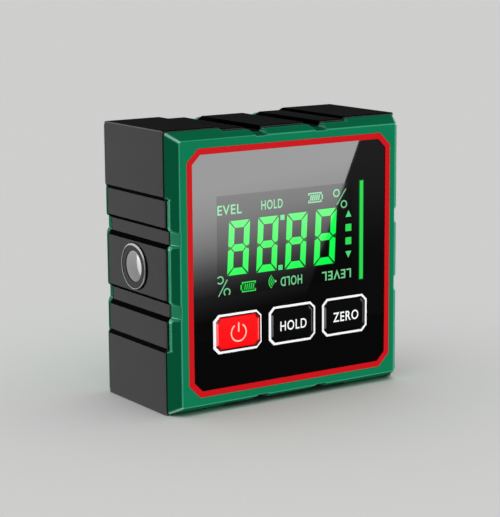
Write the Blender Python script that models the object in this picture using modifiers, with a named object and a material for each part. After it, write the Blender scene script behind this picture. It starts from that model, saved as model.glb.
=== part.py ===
"""Square digital angle gauge: a stepped band between two covers, a display window with three
push buttons, magnets in three sides, a circuit board and a battery compartment.

X runs to the right, Y to the back and Z up. The display faces -Y. The origin is the centre of
the base. Lengths are in metres.
"""

import math

import bmesh
import bpy
from mathutils import Matrix, Vector

# Case
SIDE = 0.061
DEPTH = 0.031
FRONT_COVER_DEPTH = 0.0034
REAR_COVER_DEPTH = 0.0028
PARTING_GAP = 0.0003
FIT_GAP = 0.0003
WALL = 0.0032
POST_SIZE = 0.0074
EDGE_CHAMFER = 0.00018

# Stepped profile that all four sides of the band share
CORNER_BLOCK = 0.0138
STEP_DEPTH = 0.0005
GROOVE_CENTRE = 0.0078
GROOVE_FLOOR = 0.00275
GROOVE_DEPTH = 0.0014
LEDGE_RUN = 0.0009

# Covers
COVER_INSET = 0.00028
COVER_STEP_DEPTH = 0.0006
GROOVE_NOTCH = 0.00012
FRONT_TAPER = 0.0016
REAR_RIM = 0.0003
REAR_TAPER = 0.0018
REAR_PLATE = 0.0023
LIP_WALL = 0.001
LIP_LENGTH = 0.002

# Display panel
PANEL_BORDER = 0.0019
TRIM_WIDTH = 0.00125
TRIM_CHAMFER = 0.0028
RECESS_DEPTH = 0.0012
PANEL_THICKNESS = 0.0015
WINDOW_RECESS = 0.0002
INLAY_GAP = 0.00012

# Display, placed from the window's edges and the buttons below it
DISPLAY_SIDE_MARGIN = 0.00587
DISPLAY_TOP_MARGIN = 0.00922
DISPLAY_BUTTON_GAP = 0.0036
DISPLAY_MARGIN = 0.0008
GLASS_OVERLAP = 0.001
GLASS_THICKNESS = 0.002
BACKLIGHT_THICKNESS = 0.0024
BACKLIGHT_SETBACK = 0.0003
CONNECTOR_WIDTH = 0.0015
CONNECTOR_SETBACK = 0.0016

# Buttons, placed from the window's edges
BUTTON_SIDE_MARGIN = 0.00487
BUTTON_BASE_MARGIN = 0.007575
BUTTON_SPACING = 0.0014
SURROUND_HEIGHT = 0.00865
SURROUND_CHAMFER = 0.00145
SURROUND_LINE = 0.0007
SURROUND_RECESS = 0.00012
BUTTON_GAP = 0.00015
BUTTON_BEVEL = 0.0005
BUTTON_BEVEL_DEPTH = 0.0003
BUTTON_TRAVEL = 0.0005
FLANGE_MARGIN = 0.0009
FLANGE_THICKNESS = 0.0008
STEM_RADIUS = 0.0015

# Circuit board and what is on it
BOARD_THICKNESS = 0.0016
BOARD_GAP = 0.0005
SWITCH_SIZE = 0.006
SWITCH_HEIGHT = 0.0024
SWITCH_FLOOR = 0.0006
PLUNGER_RADIUS = 0.0017
PLUNGER_PROUD = 0.0008
PROCESSOR_SIZE = 0.009
PROCESSOR_HEIGHT = 0.0014
SENSOR_SIZE = 0.004
SENSOR_HEIGHT = 0.0012
SENSOR_ABOVE_PROCESSOR = 0.014
BUZZER_RADIUS = 0.0045
BUZZER_ROOM = 0.0018
BUZZER_EDGE = 0.0118
BUZZER_UP = 0.0095
BUZZER_HOLE_RADIUS = 0.001

# Screws
REAR_SCREW_RADIUS = 0.001
REAR_HEAD_RADIUS = 0.0022
REAR_HEAD_HEIGHT = 0.0012
REAR_HEAD_SUNK = 0.0002
REAR_SCREW_BITE = 0.0055
BOSS_RADIUS = 0.0025
BOARD_SCREW_RADIUS = 0.0008
BOARD_HEAD_RADIUS = 0.0017
BOARD_HEAD_HEIGHT = 0.0011
BOARD_SCREW_BITE = 0.0035
BOARD_BOSS_RADIUS = 0.0021
BOARD_SCREW_SIDE = 0.0153
BOARD_SCREW_EDGE = 0.0041
DOOR_SCREW_BITE = 0.004

# Batteries and their compartment
CELL_RADIUS = 0.00525
CELL_GAP = 0.0007
SPRING_ROOM = 0.0039
CELL_NUB_RADIUS = 0.0019
CELL_NUB_LENGTH = 0.001
CELL_ROUND = 0.0005
COMPARTMENT_WALL = 0.001
COMPARTMENT_GAP = 0.0004
CONTACT_THICKNESS = 0.0004
CONTACT_WIDTH = 0.008
CONTACT_DEPTH = 0.009
TAIL_WIDTH = 0.003
SPRING_RADIUS = 0.0028
SPRING_WIRE = 0.0003
SPRING_TURNS = 4
DOOR_THICKNESS = 0.0012
DOOR_LEDGE = 0.0015
DOOR_TONGUE = 0.0068
DOOR_TAB_HALF = 0.008
DOOR_GRIP_COUNT = 5
DOOR_GRIP_PITCH = 0.0016
DOOR_GRIP_WIDTH = 0.0007
DOOR_GRIP_DEPTH = 0.0003
DOOR_GRIP_LENGTH = 0.012

# Magnets
MAGNET_SETBACK = 0.0129
CUP_RADIUS = 0.0051
CUP_WALL = 0.00055
CUP_FLOOR = 0.0006
CUP_HEIGHT = 0.0029
CUP_PROUD = 0.0004
MAGNET_RADIUS = 0.0034
MAGNET_SUNK = 0.0003
BUSH_SUNK = 0.00035
PAD_WIDTH = 0.014
PAD_RISE = 0.0007

# The covers' groove cutters: how far they run past both ends, as a share of their depth, and
# how far they stay clear of the corner blocks
CUTTER_OVERRUN = 0.5
CUTTER_CLEARANCE = 0.00006

# Places that follow from the sizes above
FRONT = -DEPTH / 2
BACK = DEPTH / 2
MIDDLE = SIDE / 2
FRONT_SEAM = FRONT + FRONT_COVER_DEPTH
BAND_FRONT = FRONT_SEAM + PARTING_GAP
REAR_SEAM = BACK - REAR_COVER_DEPTH
BAND_BACK = REAR_SEAM - PARTING_GAP
RECESS_FLOOR = FRONT + RECESS_DEPTH
PANEL_BACK = RECESS_FLOOR + PANEL_THICKNESS
GLASS_FRONT = PANEL_BACK + FIT_GAP
GLASS_BACK = GLASS_FRONT + GLASS_THICKNESS
BACKLIGHT_FRONT = GLASS_BACK + FIT_GAP
BACKLIGHT_BACK = BACKLIGHT_FRONT + BACKLIGHT_THICKNESS
BOARD_FRONT = BACKLIGHT_BACK + FIT_GAP
BOARD_BACK = BOARD_FRONT + BOARD_THICKNESS
CAVITY_HALF = SIDE / 2 - WALL
POST_CENTRE = CAVITY_HALF - POST_SIZE / 2
TRIM_HALF = SIDE / 2 - COVER_INSET - FRONT_TAPER - PANEL_BORDER
WINDOW_HALF = TRIM_HALF - TRIM_WIDTH
DIAGONAL_SHARE = 2 - math.sqrt(2)
WINDOW_CHAMFER = TRIM_CHAMFER - TRIM_WIDTH * DIAGONAL_SHARE
SURROUND_WIDTH = 2 * (WINDOW_HALF - BUTTON_SIDE_MARGIN - BUTTON_SPACING) / 3
BUTTON_PITCH = SURROUND_WIDTH + BUTTON_SPACING
BUTTON_CENTRE = MIDDLE - WINDOW_HALF + BUTTON_BASE_MARGIN + SURROUND_HEIGHT / 2
DISPLAY_TOP = MIDDLE + WINDOW_HALF - DISPLAY_TOP_MARGIN
DISPLAY_BASE = BUTTON_CENTRE + SURROUND_HEIGHT / 2 + DISPLAY_BUTTON_GAP
DISPLAY_WIDTH = 2 * (WINDOW_HALF - DISPLAY_SIDE_MARGIN)
DISPLAY_HEIGHT = DISPLAY_TOP - DISPLAY_BASE
DISPLAY_CENTRE = (DISPLAY_TOP + DISPLAY_BASE) / 2
CONNECTOR_LENGTH = DISPLAY_WIDTH - 2 * CONNECTOR_SETBACK
BUTTON_WIDTH = SURROUND_WIDTH - 2 * SURROUND_LINE
BUTTON_HEIGHT = SURROUND_HEIGHT - 2 * SURROUND_LINE
BUTTON_CHAMFER = SURROUND_CHAMFER - SURROUND_LINE * DIAGONAL_SHARE
SWITCH_BASE = BOARD_FRONT - FIT_GAP
SWITCH_TOP = SWITCH_BASE - SWITCH_HEIGHT
PLUNGER_TOP = SWITCH_TOP - PLUNGER_PROUD
PLUNGER_BOTTOM = SWITCH_BASE - SWITCH_FLOOR - FIT_GAP - BUTTON_TRAVEL
DOOR_INSIDE = BACK - DOOR_THICKNESS
DOOR_SEAT = DOOR_INSIDE - FIT_GAP
CELL_DEPTH = DOOR_INSIDE - FIT_GAP - CELL_RADIUS
COMPARTMENT_FLOOR = CELL_DEPTH - CELL_RADIUS - FIT_GAP
CELL_SPACING = 2 * CELL_RADIUS + CELL_GAP
COMPARTMENT_HALF = CAVITY_HALF - PAD_RISE - COMPARTMENT_GAP - COMPARTMENT_WALL
COMPARTMENT_RISE = CELL_SPACING / 2 + CELL_RADIUS + FIT_GAP
CONTACT_PLACE = COMPARTMENT_HALF - FIT_GAP - CONTACT_THICKNESS
CELL_LENGTH = 2 * (CONTACT_PLACE - FIT_GAP) - SPRING_ROOM
BUZZER_HEIGHT = COMPARTMENT_FLOOR - COMPARTMENT_WALL - BOARD_BACK - FIT_GAP - BUZZER_ROOM
DOOR_HALF = COMPARTMENT_HALF + DOOR_LEDGE
DOOR_RISE = COMPARTMENT_RISE + DOOR_LEDGE
DOOR_DROP = COMPARTMENT_RISE + DOOR_TONGUE
DOOR_SCREW_PLACE = MIDDLE - DOOR_DROP + DOOR_TONGUE / 2
MAGNET_PLACE = BAND_FRONT + MAGNET_SETBACK

BUTTONS = {"power": -BUTTON_PITCH, "hold": 0.0, "zero": BUTTON_PITCH}
MAGNET_SIDES = {"left": Vector((-1, 0, 0)), "right": Vector((1, 0, 0)), "bottom": Vector((0, 0, -1))}
CORNERS = {"upper_left": (-1, 1), "upper_right": (1, 1), "lower_left": (-1, -1), "lower_right": (1, -1)}


def clear_scene():
    for obj in list(bpy.data.objects):
        bpy.data.objects.remove(obj, do_unlink=True)


def new_collection(name):
    collection = bpy.data.collections.new(name)
    bpy.context.scene.collection.children.link(collection)
    return collection


def finish(name, colour, roughness, metallic=0.0):
    """A plain material with the part's own colour, roughness and metallic value."""
    material = bpy.data.materials.new(name)
    material.use_nodes = True
    shader = material.node_tree.nodes["Principled BSDF"]
    shader.inputs["Base Color"].default_value = (*colour, 1.0)
    shader.inputs["Roughness"].default_value = roughness
    shader.inputs["Metallic"].default_value = metallic
    return material


def add_part(name, mesh, place, material):
    """Puts a mesh into the gauge's collection, with its origin at place."""
    mesh.name = name
    mesh.materials.append(material)
    obj = bpy.data.objects.new(name, mesh)
    obj.location = place
    gauge.objects.link(obj)
    return obj


def add_cutter(name, mesh, place):
    obj = bpy.data.objects.new(name, mesh)
    obj.location = place
    obj.hide_render = True
    obj.display_type = "WIRE"
    cutters.objects.link(obj)
    return obj


def combine(target, other, operation):
    """Adds an exact Boolean of the given kind to target."""
    modifier = target.modifiers.new(other.name, "BOOLEAN")
    modifier.operation = operation
    modifier.object = other
    modifier.solver = "EXACT"


def finished_mesh(shape, name):
    """Turns the closed shape's faces outwards and makes a mesh of it."""
    bmesh.ops.recalc_face_normals(shape, faces=shape.faces)
    if shape.calc_volume(signed=True) < 0:
        bmesh.ops.reverse_faces(shape, faces=shape.faces)
    mesh = bpy.data.meshes.new(name)
    shape.to_mesh(mesh)
    shape.free()
    return mesh


def box(name, low, high):
    """A box between two opposite corners."""
    shape = bmesh.new()
    bmesh.ops.create_cube(shape, size=1.0)
    low = Vector(low)
    size = Vector(high) - low
    for vert in shape.verts:
        vert.co = [low[i] + (vert.co[i] + 0.5) * size[i] for i in range(3)]
    return finished_mesh(shape, name)


def cylinder(name, radius, start, end, axis=Vector((0, 1, 0)), segments=24):
    """A cylinder from start to end along an axis through the origin."""
    shape = bmesh.new()
    turn = axis.to_track_quat("Z", "Y").to_matrix().to_4x4()
    shift = Matrix.Translation(axis * (start + end) / 2)
    bmesh.ops.create_cone(
        shape,
        cap_ends=True,
        segments=segments,
        radius1=radius,
        radius2=radius,
        depth=end - start,
        matrix=shift @ turn,
    )
    return finished_mesh(shape, name)


def plate(name, outline, start, end):
    """A plate from start to end along Y, with a flat outline around the Y axis."""
    shape = bmesh.new()
    face = shape.faces.new([shape.verts.new((across, start, up)) for across, up in outline])
    grown = bmesh.ops.extrude_face_region(shape, geom=[face])["geom"]
    moved = [item for item in grown if isinstance(item, bmesh.types.BMVert)]
    bmesh.ops.translate(shape, verts=moved, vec=(0, end - start, 0))
    return finished_mesh(shape, name)


def frame_plate(name, outside, inside, start, end):
    """A flat frame from start to end along Y, filled between two outlines around the Y axis."""
    curve = bpy.data.curves.new(name, "CURVE")
    curve.dimensions = "2D"
    curve.fill_mode = "BOTH"
    curve.extrude = (end - start) / 2
    for outline in (outside, inside):
        spline = curve.splines.new("POLY")
        spline.points.add(len(outline) - 1)
        for point, (across, up) in zip(spline.points, outline):
            point.co = (across, up, 0.0, 1.0)
        spline.use_cyclic_u = True
    guide = bpy.data.objects.new(name, curve)
    bpy.context.scene.collection.objects.link(guide)
    graph = bpy.context.evaluated_depsgraph_get()
    mesh = bpy.data.meshes.new_from_object(guide.evaluated_get(graph))
    bpy.data.objects.remove(guide)
    bpy.data.curves.remove(curve)
    shape = bmesh.new()
    shape.from_mesh(mesh)
    bpy.data.meshes.remove(mesh)
    bmesh.ops.remove_doubles(shape, verts=shape.verts, dist=1e-6)
    shape.transform(Matrix.Translation((0, (start + end) / 2, 0)) @ Matrix.Rotation(math.pi / 2, 4, "X"))
    return finished_mesh(shape, name)


def loft(name, sections, twisted=False):
    """A solid through flat outlines with equal numbers of points, each at its own place along Y.

    Where the outlines twist against each other, the faces between them are split into triangles.
    """
    shape = bmesh.new()
    rings = [[shape.verts.new((across, y, up)) for across, up in outline] for y, outline in sections]
    for near, far in zip(rings, rings[1:]):
        for i, corner in enumerate(near):
            shape.faces.new((near[i - 1], corner, far[i], far[i - 1]))
    shape.faces.new(rings[0])
    shape.faces.new(rings[-1])
    if twisted:
        bmesh.ops.triangulate(shape, faces=[face for face in shape.faces if len(face.verts) == 4])
    return finished_mesh(shape, name)


def turned(name, profile, place, axis, material, closed=False, segments=32):
    """A turned piece. The profile holds (radius, height) pairs from its top down its outer side."""
    mesh = bpy.data.meshes.new(name)
    edges = [(i, i + 1) for i in range(len(profile) - 1)]
    if closed:
        edges.append((len(profile) - 1, 0))
    mesh.from_pydata([(radius, 0.0, height) for radius, height in profile], edges, [])
    obj = add_part(name, mesh, place, material)
    obj.rotation_mode = "QUATERNION"
    obj.rotation_quaternion = axis.to_track_quat("Z", "Y")
    screw = obj.modifiers.new("turn", "SCREW")
    screw.axis = "Z"
    screw.steps = segments
    screw.render_steps = segments
    screw.use_merge_vertices = True
    screw.merge_threshold = 1e-6
    screw.use_smooth_shade = True
    screw.use_normal_calculate = False
    return obj


def chamfered(half_width, half_height, chamfer):
    """A rectangle with its corners cut off."""
    return [
        (-half_width + chamfer, half_height),
        (half_width - chamfer, half_height),
        (half_width, half_height - chamfer),
        (half_width, -half_height + chamfer),
        (half_width - chamfer, -half_height),
        (-half_width + chamfer, -half_height),
        (-half_width, -half_height + chamfer),
        (-half_width, half_height - chamfer),
    ]


def quarter_turns(side):
    """The points of one side, repeated clockwise for all four sides."""
    points = []
    for _ in range(4):
        points.extend(side)
        side = [(up, -across) for across, up in side]
    return points


def stepped_outline(inset, step, corner):
    """The gauge's outline: corner blocks, recessed sides and two grooves in each side."""
    half = SIDE / 2 - inset
    block = SIDE / 2 - CORNER_BLOCK
    groove_start = GROOVE_CENTRE - GROOVE_FLOOR / 2
    groove_end = GROOVE_CENTRE + GROOVE_FLOOR / 2
    right = [
        (groove_start - LEDGE_RUN, half - step),
        (groove_start, half - GROOVE_DEPTH),
        (groove_end, half - GROOVE_DEPTH),
        (groove_end + LEDGE_RUN, half - step),
        (block - LEDGE_RUN, half - step),
        (block, half),
        (half - corner, half),
    ]
    left = [(-across, up) for across, up in reversed(right)]
    return quarter_turns(left + right)


def cavity_outline(inset):
    """The band's inside, drawn in by inset: a post in each corner and a pad behind each magnet."""
    half = CAVITY_HALF - inset
    post = CAVITY_HALF - POST_SIZE - inset
    pad = PAD_WIDTH / 2 + inset
    plain = [(-post, post), (-post, half), (post, half)]
    padded = [
        (-post, post),
        (-post, half),
        (-pad, half),
        (-pad, half - PAD_RISE),
        (pad, half - PAD_RISE),
        (pad, half),
        (post, half),
    ]
    points = list(plain)
    side = padded
    for _ in range(3):
        side = [(up, -across) for across, up in side]
        points.extend(side)
    return points


def grooved_cutter(name, seam, face, taper):
    """What is kept of a cover: the stepped outline, with grooves that deepen from the seam to the face."""
    draft = taper + EDGE_CHAMFER + GROOVE_NOTCH - GROOVE_DEPTH + CUTTER_CLEARANCE
    sections = []
    for share in (-CUTTER_OVERRUN, 1 + CUTTER_OVERRUN):
        inset = COVER_INSET - CUTTER_CLEARANCE + draft * share
        step = COVER_STEP_DEPTH + CUTTER_CLEARANCE - draft * share
        outline = stepped_outline(inset, step, 0.5 * EDGE_CHAMFER)
        sections.append((seam + (face - seam) * share, outline))
    return loft(name, sections, twisted=True)


def door_outline(grow):
    """The battery door around the case's centre, drawn out by grow: a tab for its screw hangs below."""
    half = DOOR_HALF + grow
    rise = DOOR_RISE + grow
    drop = DOOR_DROP + grow
    tab = DOOR_TAB_HALF + grow
    cut = 2 * EDGE_CHAMFER
    right = [
        (half - cut, rise),
        (half, rise - cut),
        (half, -rise + cut),
        (half - cut, -rise),
        (tab, -rise),
        (tab, -drop + cut),
        (tab - cut, -drop),
    ]
    return right + [(-across, up) for across, up in reversed(right)]


def corner_places(reach):
    """The four points at reach from the case's centre line, both ways, by their names."""
    return {name: Vector((x * reach, 0, MIDDLE + z * reach)) for name, (x, z) in CORNERS.items()}


def make_side_band():
    """The dark middle frame: a moulded tube with a post for a long screw in each corner."""
    outside = [
        (BAND_FRONT, stepped_outline(EDGE_CHAMFER, STEP_DEPTH, EDGE_CHAMFER)),
        (BAND_FRONT + EDGE_CHAMFER, stepped_outline(0, STEP_DEPTH, EDGE_CHAMFER)),
        (BAND_BACK - EDGE_CHAMFER, stepped_outline(0, STEP_DEPTH, EDGE_CHAMFER)),
        (BAND_BACK, stepped_outline(EDGE_CHAMFER, STEP_DEPTH, EDGE_CHAMFER)),
    ]
    centre = Vector((0, 0, MIDDLE))
    band = add_part("side_band", loft("side_band", outside), centre, band_plastic)
    past = FIT_GAP + LIP_LENGTH
    hollow = plate("band_hollow", cavity_outline(0), BAND_FRONT - past, BAND_BACK + past)
    combine(band, add_cutter("band_hollow", hollow, centre), "DIFFERENCE")
    for name, place in corner_places(POST_CENTRE).items():
        radius = REAR_SCREW_RADIUS + FIT_GAP
        hole = cylinder("screw_hole", radius, BAND_FRONT - past, BAND_BACK + past)
        combine(band, add_cutter("band_screw_hole_" + name, hole, place), "DIFFERENCE")
        socket_end = FRONT_SEAM + REAR_SCREW_BITE + FIT_GAP
        socket = cylinder("boss_socket", BOSS_RADIUS + FIT_GAP, BAND_FRONT - past, socket_end)
        combine(band, add_cutter("band_boss_socket_" + name, socket, place), "DIFFERENCE")
    for name, outwards in MAGNET_SIDES.items():
        floor = SIDE / 2 - STEP_DEPTH + CUP_PROUD - CUP_HEIGHT - INLAY_GAP
        pocket = cylinder("pocket", CUP_RADIUS + INLAY_GAP, floor, SIDE / 2 + FIT_GAP, outwards, 32)
        place = Vector((0, MAGNET_PLACE, MIDDLE))
        combine(band, add_cutter("magnet_pocket_" + name, pocket, place), "DIFFERENCE")


def add_lip(cover, name, start, end):
    """Joins a locating lip to a cover. It follows the band's inside with a gap all round."""
    centre = Vector((0, 0, MIDDLE))
    lip = plate(name, cavity_outline(FIT_GAP), start, end)
    combine(cover, add_cutter(name, lip, centre), "UNION")


def make_front_bezel():
    """The green front cover: a tapered and grooved frame with a recessed panel behind the window."""
    centre = Vector((0, 0, MIDDLE))
    base = SIDE / 2 - COVER_INSET
    face = base - FRONT_TAPER
    taper = [
        (FRONT, chamfered(face - EDGE_CHAMFER, face - EDGE_CHAMFER, EDGE_CHAMFER)),
        (FRONT + EDGE_CHAMFER, chamfered(face, face, 2 * EDGE_CHAMFER)),
        (FRONT_SEAM, chamfered(base, base, 2 * EDGE_CHAMFER)),
    ]
    bezel = add_part("front_bezel", loft("front_bezel", taper), centre, cover_plastic)
    grooves = grooved_cutter("bezel_grooves", FRONT_SEAM, FRONT, FRONT_TAPER)
    combine(bezel, add_cutter("bezel_grooves", grooves, centre), "INTERSECT")
    add_lip(bezel, "bezel_lip", PANEL_BACK, BAND_FRONT + LIP_LENGTH)
    for name, place in corner_places(POST_CENTRE).items():
        boss = cylinder("corner_boss", BOSS_RADIUS, PANEL_BACK, FRONT_SEAM + REAR_SCREW_BITE)
        combine(bezel, add_cutter("bezel_boss_" + name, boss, place), "UNION")
    inside = cavity_outline(FIT_GAP + LIP_WALL)
    hollow = plate("bezel_hollow", inside, PANEL_BACK, BAND_FRONT + 2 * LIP_LENGTH)
    combine(bezel, add_cutter("bezel_hollow", hollow, centre), "DIFFERENCE")
    for name, place in board_screw_places().items():
        boss = cylinder("board_boss", BOARD_BOSS_RADIUS, RECESS_FLOOR + FIT_GAP, BOARD_FRONT - FIT_GAP)
        combine(bezel, add_cutter("bezel_board_boss_" + name, boss, place), "UNION")
    outline = chamfered(TRIM_HALF, TRIM_HALF, TRIM_CHAMFER)
    recess = plate("recess", outline, FRONT - FIT_GAP, RECESS_FLOOR)
    combine(bezel, add_cutter("bezel_recess", recess, centre), "DIFFERENCE")
    half_width = DISPLAY_WIDTH / 2 + DISPLAY_MARGIN
    half_height = DISPLAY_HEIGHT / 2 + DISPLAY_MARGIN
    opening = box(
        "display_opening",
        (-half_width, FRONT, DISPLAY_CENTRE - half_height),
        (half_width, PANEL_BACK + FIT_GAP, DISPLAY_CENTRE + half_height),
    )
    combine(bezel, add_cutter("bezel_display_opening", opening, (0, 0, 0)), "DIFFERENCE")
    for name, across in BUTTONS.items():
        outline = chamfered(BUTTON_WIDTH / 2, BUTTON_HEIGHT / 2, BUTTON_CHAMFER)
        hole = plate("button_hole", outline, FRONT, PANEL_BACK + FIT_GAP)
        place = Vector((across, 0, BUTTON_CENTRE))
        combine(bezel, add_cutter("bezel_hole_" + name, hole, place), "DIFFERENCE")
    for name, place in corner_places(POST_CENTRE).items():
        start = RECESS_FLOOR + PANEL_THICKNESS / 2
        hole = cylinder("thread", REAR_SCREW_RADIUS + FIT_GAP, start, BAND_FRONT + REAR_SCREW_BITE)
        combine(bezel, add_cutter("bezel_thread_" + name, hole, place), "DIFFERENCE")
    for name, place in board_screw_places().items():
        start = BOARD_FRONT - FIT_GAP - BOARD_SCREW_BITE
        hole = cylinder("board_thread", BOARD_SCREW_RADIUS + FIT_GAP, start, BOARD_BACK, segments=16)
        combine(bezel, add_cutter("bezel_board_thread_" + name, hole, place), "DIFFERENCE")


def make_rear_cover():
    """The green rear cover: tapered and grooved, with the battery compartment moulded inside."""
    centre = Vector((0, 0, MIDDLE))
    rim = SIDE / 2 - COVER_INSET
    face = rim - REAR_TAPER
    outside = [
        (REAR_SEAM, chamfered(rim, rim, 2 * EDGE_CHAMFER)),
        (REAR_SEAM + REAR_RIM, chamfered(rim, rim, 2 * EDGE_CHAMFER)),
        (BACK - EDGE_CHAMFER, chamfered(face, face, 2 * EDGE_CHAMFER)),
        (BACK, chamfered(face - EDGE_CHAMFER, face - EDGE_CHAMFER, EDGE_CHAMFER)),
    ]
    cover = add_part("rear_cover", loft("rear_cover", outside), centre, cover_plastic)
    grooves = grooved_cutter("cover_grooves", REAR_SEAM + REAR_RIM, BACK, REAR_TAPER)
    combine(cover, add_cutter("cover_grooves", grooves, centre), "INTERSECT")
    plate_inside = BACK - REAR_PLATE
    add_lip(cover, "cover_lip", BAND_BACK - LIP_LENGTH, plate_inside)
    inside = cavity_outline(FIT_GAP + LIP_WALL)
    hollow = plate("cover_hollow", inside, BAND_BACK - 2 * LIP_LENGTH, plate_inside)
    combine(cover, add_cutter("cover_hollow", hollow, centre), "DIFFERENCE")
    wall_half = COMPARTMENT_HALF + COMPARTMENT_WALL
    wall_rise = COMPARTMENT_RISE + COMPARTMENT_WALL
    walls = box(
        "compartment_walls",
        (-wall_half, COMPARTMENT_FLOOR - COMPARTMENT_WALL, -wall_rise),
        (wall_half, DOOR_SEAT - FIT_GAP, wall_rise),
    )
    combine(cover, add_cutter("cover_compartment_walls", walls, centre), "UNION")
    boss = cylinder("door_boss", BOSS_RADIUS, door_screw_end() - FIT_GAP, DOOR_SEAT - FIT_GAP)
    place = Vector((0, 0, DOOR_SCREW_PLACE))
    combine(cover, add_cutter("cover_door_boss", boss, place), "UNION")
    seat = plate("door_seat", door_outline(FIT_GAP), DOOR_SEAT, BACK + FIT_GAP)
    combine(cover, add_cutter("cover_door_seat", seat, centre), "DIFFERENCE")
    space = box(
        "compartment",
        (-COMPARTMENT_HALF, COMPARTMENT_FLOOR, -COMPARTMENT_RISE),
        (COMPARTMENT_HALF, BACK, COMPARTMENT_RISE),
    )
    combine(cover, add_cutter("cover_compartment", space, centre), "DIFFERENCE")
    thread = cylinder("door_thread", BOARD_SCREW_RADIUS + FIT_GAP, door_screw_end(), BACK, segments=16)
    combine(cover, add_cutter("cover_door_thread", thread, place), "DIFFERENCE")
    slot_start = -CONTACT_PLACE - CONTACT_THICKNESS - FIT_GAP
    slot_half = TAIL_WIDTH / 2 + FIT_GAP
    for name, up in (("positive", CELL_SPACING / 2), ("negative", -CELL_SPACING / 2)):
        slot = box(
            "tail_slot",
            (slot_start, COMPARTMENT_FLOOR - 2 * COMPARTMENT_WALL, up - slot_half),
            (-CONTACT_PLACE + FIT_GAP, CELL_DEPTH, up + slot_half),
        )
        combine(cover, add_cutter("cover_tail_slot_" + name, slot, centre), "DIFFERENCE")
    for name, place in corner_places(POST_CENTRE).items():
        hole = cylinder("screw_hole", REAR_SCREW_RADIUS + FIT_GAP, REAR_SEAM - FIT_GAP, BACK)
        combine(cover, add_cutter("cover_screw_hole_" + name, hole, place), "DIFFERENCE")
        seat_depth = BACK - REAR_HEAD_SUNK - REAR_HEAD_HEIGHT - FIT_GAP
        seat = cylinder("head_seat", REAR_HEAD_RADIUS + FIT_GAP, seat_depth, BACK + FIT_GAP)
        combine(cover, add_cutter("cover_head_seat_" + name, seat, place), "DIFFERENCE")


def make_trim_ring():
    """The thin red frame let into the bezel around the window."""
    outside = TRIM_HALF - INLAY_GAP
    outer = chamfered(outside, outside, TRIM_CHAMFER - INLAY_GAP * DIAGONAL_SHARE)
    inner = chamfered(WINDOW_HALF, WINDOW_HALF, WINDOW_CHAMFER)
    ring = frame_plate("trim_ring", outer, inner, FRONT, RECESS_FLOOR - INLAY_GAP)
    add_part("trim_ring", ring, (0, 0, MIDDLE), red_plastic)


def make_front_window():
    """The flat acrylic window, with a hole for each button's surround."""
    half = WINDOW_HALF - INLAY_GAP
    start = FRONT + WINDOW_RECESS
    outline = chamfered(half, half, WINDOW_CHAMFER - INLAY_GAP * DIAGONAL_SHARE)
    window = plate("front_window", outline, start, RECESS_FLOOR - INLAY_GAP)
    pane = add_part("front_window", window, (0, 0, MIDDLE), window_acrylic)
    for name, across in BUTTONS.items():
        half_width = SURROUND_WIDTH / 2 + INLAY_GAP
        half_height = SURROUND_HEIGHT / 2 + INLAY_GAP
        chamfer = SURROUND_CHAMFER + INLAY_GAP * DIAGONAL_SHARE
        hole = plate("window_hole", chamfered(half_width, half_height, chamfer), FRONT, RECESS_FLOOR)
        place = Vector((across, 0, BUTTON_CENTRE))
        combine(pane, add_cutter("window_hole_" + name, hole, place), "DIFFERENCE")


def make_display():
    """The display glass, its backlight and the rubber strip that joins the glass to the board."""
    half_width = DISPLAY_WIDTH / 2 + DISPLAY_MARGIN + GLASS_OVERLAP
    half_height = DISPLAY_HEIGHT / 2 + DISPLAY_MARGIN + GLASS_OVERLAP
    place = Vector((0, GLASS_FRONT, DISPLAY_CENTRE))
    glass = box("lcd_glass", (-half_width, 0, -half_height), (half_width, GLASS_THICKNESS, half_height))
    add_part("lcd_glass", glass, place, display_glass)
    light_width = half_width - BACKLIGHT_SETBACK
    light_top = half_height - BACKLIGHT_SETBACK
    light_bottom = -half_height + BACKLIGHT_SETBACK + CONNECTOR_WIDTH + FIT_GAP
    light = box(
        "lcd_backlight",
        (-light_width, 0, light_bottom),
        (light_width, BACKLIGHT_THICKNESS, light_top),
    )
    place = Vector((0, BACKLIGHT_FRONT, DISPLAY_CENTRE))
    add_part("lcd_backlight", light, place, light_diffuser)
    strip = box(
        "lcd_connector_strip",
        (-CONNECTOR_LENGTH / 2, 0, 0),
        (CONNECTOR_LENGTH / 2, BACKLIGHT_THICKNESS, CONNECTOR_WIDTH),
    )
    place = Vector((0, BACKLIGHT_FRONT, DISPLAY_CENTRE - half_height + BACKLIGHT_SETBACK))
    add_part("lcd_connector_strip", strip, place, dark_rubber)


def make_button(name, across, material):
    """A button cap with a sloped edge, a flange behind the panel and a stem for its switch."""
    half_width = BUTTON_WIDTH / 2 - BUTTON_GAP
    half_height = BUTTON_HEIGHT / 2 - BUTTON_GAP
    chamfer = BUTTON_CHAMFER - BUTTON_GAP * DIAGONAL_SHARE
    top = chamfered(
        half_width - BUTTON_BEVEL,
        half_height - BUTTON_BEVEL,
        chamfer - BUTTON_BEVEL * DIAGONAL_SHARE,
    )
    edge = chamfered(half_width, half_height, chamfer)
    flange = chamfered(half_width + FLANGE_MARGIN, half_height + FLANGE_MARGIN, chamfer)
    flange_front = GLASS_FRONT - FRONT
    flange_back = flange_front + FLANGE_THICKNESS
    sections = [
        (0, top),
        (BUTTON_BEVEL_DEPTH, edge),
        (flange_front, edge),
        (flange_front, flange),
        (flange_back, flange),
    ]
    place = Vector((across, FRONT, BUTTON_CENTRE))
    cap = add_part(name + "_button", loft(name + "_button", sections), place, material)
    stem_end = PLUNGER_TOP - FIT_GAP - FRONT
    stem = cylinder("stem", STEM_RADIUS, flange_back - FLANGE_THICKNESS / 2, stem_end, segments=16)
    combine(cap, add_cutter(name + "_stem", stem, place), "UNION")


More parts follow.
